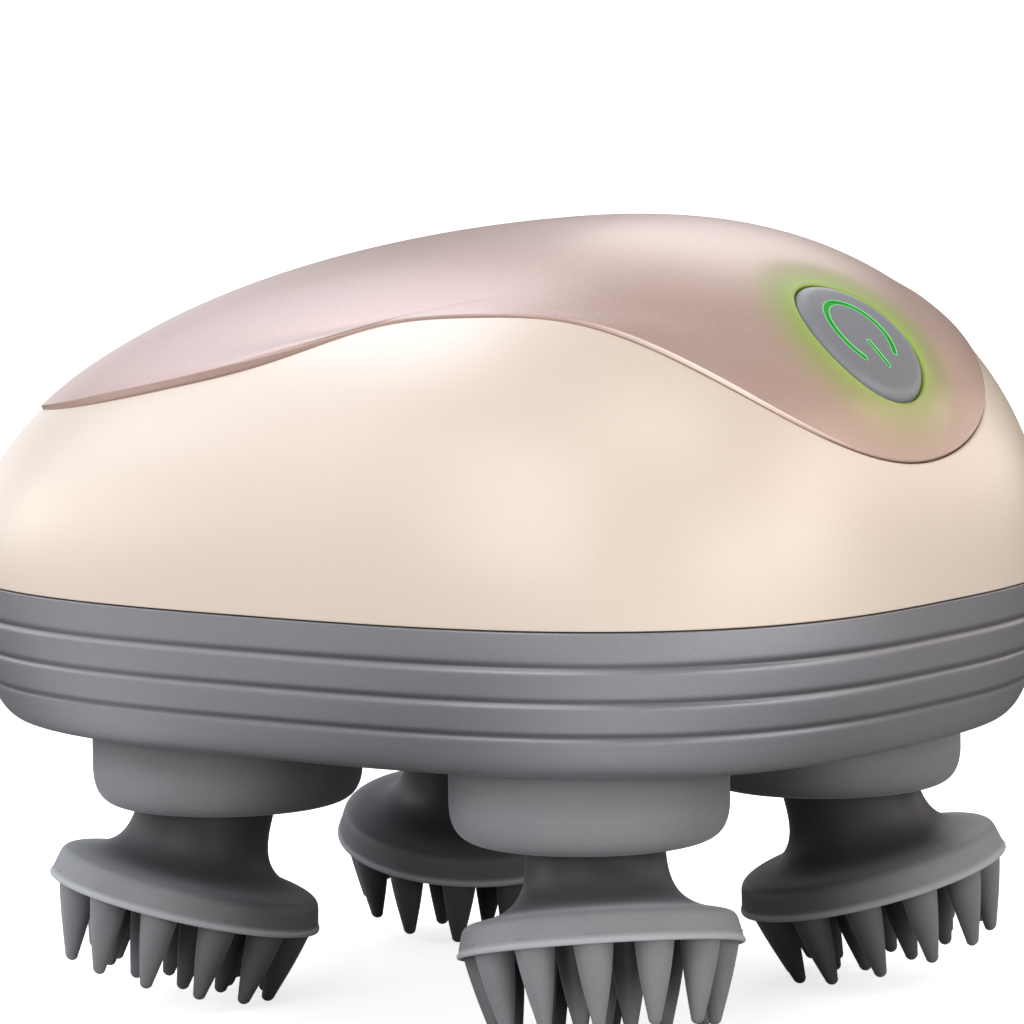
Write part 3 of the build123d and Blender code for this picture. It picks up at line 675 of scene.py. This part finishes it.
def band_profile():
    """(inset, z) from the top edge down: slightly bowed lands between three soft grooves, then the rounded foot."""
    knots = np.array([(52.0, 0.10), (49.0, 0.22), (46.0, 0.62), (43.2, 1.18), (40.6, 2.0), (39.0, 2.62), (37.9, 3.12)])
    z = np.linspace(52.34, 37.9, 150)
    # smooth curve through the knots (natural cubic)
    zk, ik = knots[::-1, 0], knots[::-1, 1]
    n = len(zk)
    h = np.diff(zk)
    A, b = np.eye(n), np.zeros(n)
    for i in range(1, n - 1):
        A[i, i - 1], A[i, i], A[i, i + 1] = h[i - 1], 2 * (h[i - 1] + h[i]), h[i]
        b[i] = 6 * ((ik[i + 1] - ik[i]) / h[i] - (ik[i] - ik[i - 1]) / h[i - 1])
    m = np.linalg.solve(A, b)
    k = np.clip(np.searchsorted(zk, z) - 1, 0, n - 2)
    u, v = zk[k + 1] - z, z - zk[k]
    inset = (m[k] * u ** 3 + m[k + 1] * v ** 3) / (6 * h[k]) + (ik[k] / h[k] - m[k] * h[k] / 6) * u + (ik[k + 1] / h[k] - m[k + 1] * h[k] / 6) * v
    for zg in GROOVES:
        inset = inset + 0.34 * np.exp(-((z - zg) / 0.46) ** 2)
    path = list(zip(inset, z))
    e_i, e_z = path[-1]
    slope = np.array([path[-1][0] - path[-3][0], path[-1][1] - path[-3][1]])
    slope = slope / np.linalg.norm(slope)
    path += [tuple(p) for p in cubic((e_i, e_z), np.array((e_i, e_z)) + slope * 1.7, (5.1, 34.5), (7.2, 34.5), 22)[1:]]
    return path


def tub():
    s = Shape()
    path = band_profile()
    top = [(0.10 + 0.14 * (1 - math.cos(math.radians(a))), 52.34 + 0.14 * math.sin(math.radians(a))) for a in (0, 22, 45, 68, 90)][::-1]
    rows = [(9.0, 36.7), (6.0, 36.7), (4.2, 44.5), (2.5, 52.45)] + top + path[1:] + [(8.2, 34.5), (9.0, 34.5)]
    s.grid(np.array([loop_at(i, z) for i, z in rows]), wv=True)
    ang = np.arange(96) * TAU / 96
    half = np.arange(48) * TAU / 48
    ring = lambda x, y, r, a: np.column_stack([x + r * np.cos(a), y + r * np.sin(a)])
    cranks = [ring(sx * HEAD_X, sy * HEAD_Y, 10.63, ang) for sx, sy in SIDES.values()]
    s.fill([loop_at(9.0, 0)[:, :2]] + cranks + [ring(x, y, 3.0, half) for x, y in COLUMNS], 34.5)
    s.fill([loop_at(9.0, 0)[:, :2]] + cranks + [ring(x, y, 5.0, half) for x, y in COLUMNS], 36.7)
    for c in cranks:
        s.grid(np.array([np.column_stack([c, np.full(96, 34.5)]), np.column_stack([c, np.full(96, 36.7)])]), wv=True)
    for x, y in COLUMNS:
        s.grid(np.array([np.column_stack([ring(x, y, r, half), np.full(48, z)]) for r, z in
                         ((3.0, 34.5), (3.0, 38.0), (1.6, 38.0), (1.6, 46.0), (5.0, 46.0), (5.0, 36.7))]), wv=True)
    return s


band = piece("lower_housing_band", tub(), "housing", ["lower_housing"], BAND, 32)


def slot_prism(length, width, x0, x1, z, n=24):
    """Closed prism along X with a slot section in the YZ plane."""
    r = width / 2
    a = np.linspace(-90, 90, n)
    right = [(length / 2 - r + r * math.cos(math.radians(q)), r * math.sin(math.radians(q))) for q in a]
    left = [(-p, -q) for p, q in right]
    sec = np.array(right + left)
    s = Shape()
    s.grid(np.array([np.column_stack([np.full(len(sec), x), sec[:, 0], sec[:, 1] + z]) for x in (x0, x1)]), wv=True)
    for x in (x0, x1):
        s.add(np.column_stack([np.full(len(sec), x), sec[:, 0], sec[:, 1] + z]), [list(range(len(sec)))])
    return s


cut = slot_prism(21.0, 8.0, -75.0, -64.8, 45.0)
ca, sa = math.cos(math.radians(-24)), math.sin(math.radians(-24))
_b = np.array([(x, y, z) for x in (-8.0, 3.6) for y in (-4.0, 4.0) for z in (39.9, 44.7)])
_r = np.column_stack([-62.6 + _b[:, 0] * ca - _b[:, 1] * sa, 24.0 + _b[:, 0] * sa + _b[:, 1] * ca, _b[:, 2]])
cut.add(_r, [(0, 1, 3, 2), (4, 6, 7, 5), (0, 4, 5, 1), (2, 3, 7, 6), (0, 2, 6, 4), (1, 5, 7, 3)])
boolean(band, loose("cutter", cut), "DIFFERENCE", 32)

seal = Shape().grid(np.array([loop_at(i, z) for i, z in ((0.62, 52.2), (0.5, 52.32), (0.5, 52.6), (0.62, 52.72), (2.3, 52.72), (2.45, 52.6), (2.45, 52.3), (2.3, 52.2))]), wu=True, wv=True)
piece("seam_gasket", seal, "housing", ["housing_seal"], SEAL, 60)


# ------------------------------------------------------------------ boots, diaphragms, heads
def head_place(sx, sy):
    a = math.atan2(sy * HEAD_Y, sx * HEAD_X)
    t = math.radians(TILT)
    r = np.array((math.cos(a), math.sin(a), 0.0))
    z = -r * math.sin(t) + np.array((0, 0, math.cos(t)))
    x = r * math.cos(t) + np.array((0, 0, math.sin(t)))
    y = np.cross(z, x)
    return np.column_stack([x, y, z]), np.array((sx * HEAD_X, sy * HEAD_Y, Z_PIVOT)), r


def boot_shape(cx, cy):
    zb = 24.65
    out = [(16.70, 34.5), (16.74, 33.0), (16.75, 31.2)]
    out[-1] = (16.75, 29.4)
    out += list(map(tuple, cubic((16.75, 29.4), (16.75, 26.5), (15.75, 24.75), (13.1, 24.66), 26)[1:]))
    lip = list(map(tuple, arc_pts((13.0, 25.23), 0.55, -90, -270, 9)))
    out += lip
    back = [(13.4, 26.4), (14.3, 27.5), (14.9, 29.3), (14.95, 31.5), (14.95, 34.5)]
    path = out + back + [out[0]]
    return Shape().lathe(path, 144, place=(np.eye(3), (cx, cy, 0)))


def diaphragm_shape(sx, sy):
    R, C, r = head_place(sx, sy)
    cx, cy = sx * HEAD_X, sy * HEAD_Y
    a = np.arange(128) * TAU / 128
    z0 = 25.35
    off = (Z_PIVOT - z0) * math.tan(math.radians(TILT))
    ax = math.atan2(r[1], r[0])
    # hole round the leaning neck: a circle about the spindle axis cut by the level plane
    hu = 8.72 / math.cos(math.radians(TILT)) * np.cos(a)
    hv = 8.72 * np.sin(a)
    ix = cx + r[0] * (off + hu) - r[1] * hv
    iy = cy + r[1] * (off + hu) + r[0] * hv
    ox, oy = cx + 12.84 * np.cos(a + ax), cy + 12.84 * np.sin(a + ax)
    rows = []
    S = np.linspace(0, 1, 15)
    wid = np.hypot(ox - ix, oy - iy)
    for s in S:
        fold = -0.30 * math.sin(math.pi * s) ** 2 + 0.25 * math.exp(-((s - 0.5) / 0.16) ** 2)
        z = z0 - 0.25 + fold * np.clip(wid / 3.0, 0.4, 1)
        rows.append(np.column_stack([ox + (ix - ox) * s, oy + (iy - oy) * s, np.broadcast_to(z, a.shape)]))
    for s in S[::-2]:
        rows.append(np.column_stack([ox + (ix - ox) * s, oy + (iy - oy) * s, np.full(len(a), z0 + 0.75)]))
    return Shape().grid(np.array(rows), wu=True, wv=True)


def tooth_path(base, tip, length, flare, n=12):
    """(r, -depth) from the root down: flared foot, slightly full cone, round tip."""
    pts = [(base + flare, 0.0)]
    pts += [(base + flare * (1 - math.sin(math.radians(a))), flare * 1.5 * (1 - math.cos(math.radians(a)))) for a in (15, 30, 45, 62, 80)]
    d0 = pts[-1][1]
    r0 = pts[-1][0]
    tail = length - tip
    for s in np.linspace(0, 1, n)[1:]:
        r = r0 + (tip * 1.02 - r0) * s + 0.20 * math.sin(math.pi * s) * (1 - 0.35 * s)
        pts.append((r, d0 + (tail - d0) * s))
    r1, d1 = pts[-1]
    for a in (18, 36, 54, 72, 90):
        pts.append((r1 * math.cos(math.radians(a)), d1 + tip * math.sin(math.radians(a))))
    return np.array(pts)


def head_mesh():
    """Dish, neck and teeth about the spindle axis, in mm, before it is placed."""
    neck = [(7.0, -7.5), (8.2, -7.5), (8.38, -7.7), (8.40, -9.5), (8.40, -12.4)]
    neck += list(map(tuple, cubic((8.40, -12.4), (8.42, -16.2), (9.3, -18.55), (12.9, -19.62), 22)[1:]))
    neck += [(13.9, -19.84), (14.9, -20.07)]
    neck += list(map(tuple, cubic((14.9, -20.07), (15.9, -20.32), (16.28, -20.6), (16.48, -21.5), 12)[1:]))
    R = HEAD_R
    neck += [(16.66, -22.3), (16.83, -23.05), (16.90, -23.38), (16.97, -23.52), (17.07, -23.60), (R, -23.74), (R + 0.0, -23.96),
             (17.06, -24.10), (16.93, -24.15), (16.6, -24.15), (16.42, -24.05), (16.32, -23.75), (16.2, -23.1), (16.0, -22.92), (15.6, -22.9), (8, -22.9), (0.001, -22.9)]
    path = neck + [(0.001, -19.8), (7.0, -19.8), (7.0, -7.5)]
    dish = Shape().lathe(path, 160)
    base = loose("dish", dish, shift=False)
    teeth = Shape()
    for count, rad, lean, b, fl, ph in ((12, 14.15, 7.0, 2.42, 0.34, 15.0), (8, 8.3, 3.2, 2.35, 0.55, 11.0), (1, 0.0, 0.0, 2.35, 0.55, 0.0)):
        path = tooth_path(b, 0.80, S_TIP - S_ROOT - 0.04, fl)
        for k in range(count):
            a = math.radians(ph + 360 * k / count)
            n = 32
            q = np.arange(n) * TAU / n
            rr, dd = path[:, 0], path[:, 1]
            X = rad + np.outer(rr, np.cos(q)) - math.tan(math.radians(lean)) * dd[:, None]
            Y = np.outer(rr, np.sin(q))
            Z = np.repeat(-S_ROOT - dd[:, None], n, 1)
            cap = np.stack([np.full(n, rad) + (b * 0.6) * np.cos(q), (b * 0.6) * np.sin(q), np.full(n, -S_ROOT + 0.55)], -1)
            cap2 = np.stack([np.full(n, rad), np.zeros(n), np.full(n, -S_ROOT + 0.6)], -1)
            first = np.stack([rad + (b + fl - 0.1) * np.cos(q), (b + fl - 0.1) * np.sin(q), np.full(n, -S_ROOT + 0.25)], -1)
            P = np.concatenate([[cap2, cap, first], np.stack([X, Y, Z], -1)])
            P = np.stack([P[..., 0] * math.cos(a) - P[..., 1] * math.sin(a), P[..., 0] * math.sin(a) + P[..., 1] * math.cos(a), P[..., 2]], -1)
            teeth.grid(P, wv=True)
    boolean(base, loose("teeth", teeth, shift=False), "UNION", 40)
    me = base.data
    bpy.data.objects.remove(base)
    V = np.array([v.co for v in me.vertices]) / MM
    r, z = np.hypot(V[:, 0], V[:, 1]), V[:, 2]
    # painted shade: the neck and dish top, and the inner teeth underneath, are painted darker
    above = smooth01((16.4 - r) / 5.5) * (z > -22.6)
    under = smooth01((13.7 - r) / 3.0) * (0.45 + 0.5 * smooth01((z + S_TIP - 1.0) / 6.0)) * (z <= -22.6)
    # painted shade: the side that faces the other heads, which sees only dark rubber, is painted darker
    inward = 0.62 * smooth01((5.5 - V[:, 0]) / 14.5)
    shade(me, 1 - (1 - np.clip(above + under, 0, 1)) * (1 - inward))
    # painted highlight: a pale line painted along the rim bead, and the dish's outer wall painted a little paler
    bead = smooth01((r - 16.8) / 0.2) * (z > -24.3) * (z < -23.3)
    shade(me, 0.75 * bead + 0.04 * smooth01((r - 15.6) / 0.9) * (z > -23.3), "painted_highlight")
    return me


def shade(me, values, name="painted_shade"):
    """How much painted shade, or painted highlight, each vertex gets, 0 to 1."""
    a = me.attributes.new(name, "FLOAT", "POINT")
    a.data.foreach_set("value", np.asarray(values, dtype=np.float32))


HEAD = head_mesh()
for side, (sx, sy) in SIDES.items():
    boot = piece(f"silicone_boot_{side}", boot_shape(sx * HEAD_X, sy * HEAD_Y), "housing", [f"boot_{side}"], RUBBER, 60)
    _v = np.array([v.co for v in boot.data.vertices]) / MM - (XC + sx * HEAD_X, sy * HEAD_Y, ZC)
    _z, _out = _v[:, 2], _v[:, :2] @ unit((sx * HEAD_X, sy * HEAD_Y))
    # painted shade: each boot is painted darker at its lip, at its top under the band, and on the side that faces the
    # other heads
    _h = 0.6 * smooth01((25.6 - _z) / 0.9) + 0.5 * smooth01((_z - 31.0) / 3.3)
    shade(boot.data, 1 - (1 - np.clip(_h, 0, 1)) * (1 - 0.6 * smooth01((4.0 - _out) / 13.0)))
    pad = piece(f"boot_floor_{side}", diaphragm_shape(sx, sy), f"crank_{side}", [f"boot_diaphragm_{side}"], RUBBER, 60)
    # painted shade: the boot floor is painted dark all over
    shade(pad.data, np.full(len(pad.data.vertices), 0.85))
    me = HEAD.copy()
    R, C, r = head_place(sx, sy)
    M4 = Matrix.Identity(4)
    for i in range(3):
        for j in range(3):
            M4[i][j] = R[i, j]
        M4[i][3] = (C[i] + (XC, 0, ZC)[i]) * MM
    me.transform(M4)
    me.name = f"scalp_head_{side}"
    piece(f"scalp_head_{side}", me, f"head_{side}", [f"massage_head_{side}"], RUBBER, 40)


# ------------------------------------------------------------------ button and its lit symbol
def stroke_loop(line, closed_n=16):
    """Points round a stroke: (centre, direction) pairs, so that centre + width * direction is its outline."""
    line = np.asarray(line, float)
    tan = np.gradient(line, axis=0)
    tan = tan / np.linalg.norm(tan, axis=1, keepdims=True)
    nor = np.column_stack([-tan[:, 1], tan[:, 0]])
    c, d = list(line), list(nor)
    for end, s in ((len(line) - 1, 1), (0, -1)):
        a0 = math.atan2(s * nor[end][1], s * nor[end][0])
        for k in range(1, closed_n):
            a = a0 - math.pi * k / closed_n
            c.append(line[end])
            d.append(np.array((math.cos(a), math.sin(a))))
        if s == 1:
            c += list(line[::-1])
            d += list(-nor[::-1])
    return np.array(c), np.array(d)


ICON_U, ICON_V = -0.5, -0.25
_a = np.radians(np.linspace(48.0, 314.0, 96))
RING = np.column_stack([ICON_U + 5.3 * np.cos(_a), ICON_V + 4.4 * np.sin(_a)])
BAR = np.column_stack([np.linspace(1.0, 4.75, 16), np.linspace(-0.3, 0.1, 16)])
STROKES = [stroke_loop(RING) + (0.46,), stroke_loop(BAR) + (0.37,)]


def cap_top(u, v):
    return round_hole(u, v, PROUD)


def button():
    s = Shape()
    q = np.arange(180) * TAU / 180
    e, drop = 1.5, 0.95
    rows = []
    for a in np.linspace(0, 90, 15):
        k = e * (1 - math.sin(math.radians(a)))
        rows.append(cap_top((R_BTN - k) * np.cos(q), (W_BTN - k) * np.sin(q)) - B_AX * drop * (1 - math.cos(math.radians(a))) ** 1.1)
    low = lambda a, b, w: B_C + B_E1 * (a * np.cos(q))[:, None] + B_E2 * (b * np.sin(q))[:, None] + B_AX * w
    rows += [low(R_BTN, W_BTN, -1.75), low(R_BTN - 0.15, W_BTN - 0.15, -1.9), low(2.1, 2.1, -1.9), low(2.1, 2.1, -4.02), low(2.0, 2.0, -4.12), low(0.001, 0.001, -4.12)]
    s.grid(np.array(rows), wv=True)
    rim = np.column_stack([(R_BTN - e) * np.cos(q), (W_BTN - e) * np.sin(q)])
    loops = [rim] + [c + d * (h + 0.04) for c, d, h in STROKES]
    grid = []
    for j, y in enumerate(np.arange(-8, 8.01, 0.5)):
        for x in np.arange(-8, 8.01, 0.58):
            p = np.array((x + 0.29 * (j % 2), y))
            if np.hypot(p[0] / (R_BTN - e - 0.3), p[1] / (W_BTN - e - 0.3)) < 1 and all(np.min(np.linalg.norm(c - p, axis=1)) > 0.78 for c, _, _ in STROKES):
                grid.append(p)
    s.fill(loops, 0, extra=grid, lift=cap_top)
    for c, d, r in STROKES:
        P = [cap_top(*(c + d * w).T) - B_AX * h for w, h in ((r + 0.04, 0), (r + 0.015, 0.03), (r, 0.60), (0.0, 0.60))]
        s.grid(np.array(P), wv=True)
    return s


def icon():
    s = Shape()
    for c, d, r in STROKES:
        P = [cap_top(*(c + d * w).T) - B_AX * h for w, h in ((0.0, 0.59), (r - 0.01, 0.59), (r - 0.01, 0.05), (r - 0.015, 0.0), (r - 0.04, -0.02), (r - 0.075, 0.0), (r - 0.09, 0.05))]
        s.grid(np.array(P), wv=True, m=1)
        P = [cap_top(*(c + d * w).T) - B_AX * h for w, h in ((r - 0.09, 0.05), (r - 0.105, 0.20), (r - 0.13, 0.40), (r - 0.18, 0.44), (0.0, 0.45))]
        s.grid(np.array(P), wv=True, m=0)
    return s


cap = piece("push_button", button(), "button", ["power_button"], RUBBER_BTN, 35)
_v = (np.array([v.co for v in cap.data.vertices]) / MM - (XC, 0, ZC)) - B_C
_far = np.hypot(_v @ B_E1 / R_BTN, _v @ B_E2 / W_BTN)
# painted highlight: a pale ring painted on the cap's bevel
shade(cap.data, smooth01((_far - 0.80) / 0.13) * smooth01((1.005 - _far) / 0.05) * 0.25, "painted_highlight")
piece("power_symbol", icon(), "button", ["button_icon"], [GREEN, GREEN_EDGE], 50)

# ------------------------------------------------------------------ what stays from the CAD gets its own finish
slot_of = {p["node"]: p["material_slot"] for p in frame["record"]["subparts"]}
missing = []
for name, o in NODES.items():
    if o.hide_render:
        continue
    slot = slot_of.get(name)
    if slot not in SLOT_MATS:
        missing.append(name)
        continue
    if not o.data.materials:
        o.data.materials.append(SLOT_MATS[slot])
    for ms in o.material_slots:
        ms.material = SLOT_MATS[slot]
print("nodes with no slot:", missing)

# ------------------------------------------------------------------ floor, light, camera
me = bpy.data.meshes.new("floor")
bm = bmesh.new()
ring = [bm.verts.new((9.0 * math.cos(k * TAU / 96), 9.0 * math.sin(k * TAU / 96), 0)) for k in range(96)]
bm.faces.new(ring)
bm.to_mesh(me)
bm.free()
floor = bpy.data.objects.new("floor", me)
scene.collection.objects.link(floor)
fm, nt, P = new_mat("pale_floor", (0.9, 0.9, 0.9), 0.0, 0.7)
nt.links.new(mix(nt, remap(nt, noise(nt, 3, 2), 0.3, 0.7, 0, 1), (0.885, 0.885, 0.885), (0.905, 0.905, 0.905)), P.inputs["Base Color"])
# painted light: as the camera sees it the floor also glows, 0.72 near the object, which lightens the object's shadow,
# rising to 1.0 further out, where it reads as a white backdrop
P.inputs["Emission Color"].default_value = (1, 1, 1, 1)
_ln = node(nt, "ShaderNodeVectorMath", operation="LENGTH")
nt.links.new(coords(nt), _ln.inputs[0])
nt.links.new(remap(nt, _ln.outputs["Value"], 0.06, 0.40, 0.72, 1.0, True), P.inputs["Emission Strength"])
# what the object sees of the floor: dark, with the light of low panels spread over it by direction
dim = node(nt, "ShaderNodeBsdfDiffuse")
dim.inputs["Color"].default_value = (0.13, 0.13, 0.13, 1)
_xyz = node(nt, "ShaderNodeSeparateXYZ")
nt.links.new(coords(nt), _xyz.inputs[0])
_az = calc(nt, "ARCTAN2", _xyz.outputs["Y"], _xyz.outputs["X"])
ramp = node(nt, "ShaderNodeValToRGB")
nt.links.new(remap(nt, _az, -math.pi, math.pi, 0.0, 1.0), ramp.inputs[0])
GLOW_TOP = 1.25
while len(ramp.color_ramp.elements) > 1:
    ramp.color_ramp.elements.remove(ramp.color_ramp.elements[-1])
for k, (deg, level) in enumerate(((-176, 0.0), (-160, 0.1), (-138, 1.05), (-114, 0.45), (-88, 0.05), (-53, 0.9), (-25, 0.5), (9, 0.12), (40, 0.3), (66, 0.0))):
    e = ramp.color_ramp.elements[0] if k == 0 else ramp.color_ramp.elements.new((deg + 180) / 360)
    e.position = (deg + 180) / 360
    e.color = (level / GLOW_TOP,) * 3 + (1,)
_band = remap(nt, _ln.outputs["Value"], 0.035, 0.085, 0.0, 1.0)
_out = remap(nt, _ln.outputs["Value"], 1.2, 1.8, 1.0, 0.0)
glow = node(nt, "ShaderNodeEmission")
_sum = calc(nt, "MULTIPLY", calc(nt, "MULTIPLY", ramp.outputs["Color"], GLOW_TOP), calc(nt, "MULTIPLY", _band, _out))
# a far strip of it in front of the right side, low enough to show in the band alone
_strip = calc(nt, "MULTIPLY", remap(nt, _az, math.radians(-60), math.radians(-32), 0.0, 1.0), remap(nt, _az, math.radians(16), math.radians(40), 1.0, 0.0))
_strip = calc(nt, "MULTIPLY", _strip, calc(nt, "MULTIPLY", remap(nt, _ln.outputs["Value"], 0.20, 0.32, 0.0, 1.3), _out))
nt.links.new(calc(nt, "ADD", _sum, _strip), glow.inputs["Strength"])
lit = node(nt, "ShaderNodeAddShader")
nt.links.new(dim.outputs[0], lit.inputs[0])
nt.links.new(glow.outputs[0], lit.inputs[1])
path = node(nt, "ShaderNodeLightPath")
both = node(nt, "ShaderNodeMixShader")
nt.links.new(path.outputs["Is Camera Ray"], both.inputs[0])
nt.links.new(lit.outputs[0], both.inputs[1])
nt.links.new(P.outputs[0], both.inputs[2])
nt.links.new(both.outputs[0], nt.nodes["Material Output"].inputs["Surface"])
me.materials.append(fm)

world = bpy.data.worlds.new("studio")
scene.world = world
world.use_nodes = True
bg = world.node_tree.nodes["Background"]
bg.inputs["Color"].default_value = (1, 1, 1, 1)
wt = world.node_tree
wp = wt.nodes.new("ShaderNodeLightPath")
wm = wt.nodes.new("ShaderNodeMapRange")
wm.inputs["To Min"].default_value, wm.inputs["To Max"].default_value = 0.03, 1.0
wt.links.new(wp.outputs["Is Camera Ray"], wm.inputs["Value"])
wt.links.new(wm.outputs["Result"], bg.inputs["Strength"])


def area(name, loc, target, w, h, power, color=(1, 1, 1)):
    d = bpy.data.lights.new(name, "AREA")
    d.shape, d.size, d.size_y, d.energy, d.color = "RECTANGLE", w, h, power, color
    o = bpy.data.objects.new(name, d)
    o.location = loc
    o.rotation_mode = "QUATERNION"
    o.rotation_quaternion = (Vector(target) - Vector(loc)).to_track_quat("-Z", "Y")
    scene.collection.objects.link(o)
    return o


def lamp(name, az, elev, dist, w, h, power, color=(1, 1, 1), look=(0, 0, 0.055)):
    a, e = math.radians(az), math.radians(elev)
    return area(name, (look[0] + dist * math.cos(e) * math.cos(a), look[1] + dist * math.cos(e) * math.sin(a), look[2] + dist * math.sin(e)),
                look, w, h, power, color)


# a ring of soft panels: azimuth, elevation, width, height, watts, colour
PLAIN, COOL, WARM = (1, 1, 1), (0.94, 1.0, 1.12), (1.0, 0.91, 0.82)
PANELS = ((-165, 12, 0.5, 0.32, 1.9, PLAIN), (-140, 12, 0.5, 0.32, 1.8, PLAIN), (-85, 12, 1.0, 0.4, 4.7, PLAIN), (2, 12, 1.45, 0.42, 6.0, PLAIN),
          (-28, 10, 0.7, 0.34, 1.0, PLAIN), (70, 12, 0.6, 0.32, 1.8, WARM), (-165, 32, 0.6, 0.45, 2.1, COOL), (-140, 32, 0.6, 0.45, 2.0, COOL),
          (-85, 34, 1.1, 0.5, 5.4, PLAIN), (32, 26, 1.0, 0.45, 4.0, WARM), (75, 32, 0.6, 0.45, 1.1, WARM), (115, 32, 0.6, 0.45, 2.6, PLAIN),
          (155, 32, 0.6, 0.45, 1.35, COOL), (-165, 56, 0.8, 0.6, 4.6, COOL), (-30, 56, 0.95, 0.6, 4.4, PLAIN), (60, 56, 0.8, 0.6, 0.5, WARM),
          (120, 56, 0.8, 0.6, 1.3, PLAIN), (165, 56, 0.8, 0.6, 4.0, COOL), (150, 8, 0.9, 0.4, 1.3, PLAIN), (176, 8, 0.8, 0.4, 0.7, PLAIN))
for az, el, w, h, watts, tone in PANELS:
    lamp(f"panel_{az % 360}_{el}", az, el, 1.5, w, h, watts, tone)

cam = bpy.data.cameras.new("camera")
cam.lens, cam.sensor_width, cam.clip_start, cam.clip_end = 218.12, 36.0, 0.01, 60.0
co = bpy.data.objects.new("camera", cam)
scene.collection.objects.link(co)
psi, el, ro, fpx = math.radians(36.9), math.radians(7.326), math.radians(-0.912), 6204.446
back = Vector((math.sin(psi) * math.cos(el), -math.cos(psi) * math.cos(el), math.sin(el)))
right = Vector((math.cos(psi), math.sin(psi), 0))
up = back.cross(right)
r2 = right * math.cos(ro) + up * math.sin(ro)
u2 = -right * math.sin(ro) + up * math.cos(ro)
aim = (-back + r2 * ((512 - 526.368) / fpx) - u2 * ((512 - 613.871) / fpx)).normalized()
zc = -aim
yc = (u2 - zc * u2.dot(zc)).normalized()
xc = yc.cross(zc)
co.matrix_world = Matrix(((xc.x, yc.x, zc.x, 0.462537), (xc.y, yc.y, zc.y, -0.612187), (xc.z, yc.z, zc.z, 0.145544), (0, 0, 0, 1)))
scene.camera = co
scene.view_settings.view_transform = "Standard"
scene.view_settings.look = "None"
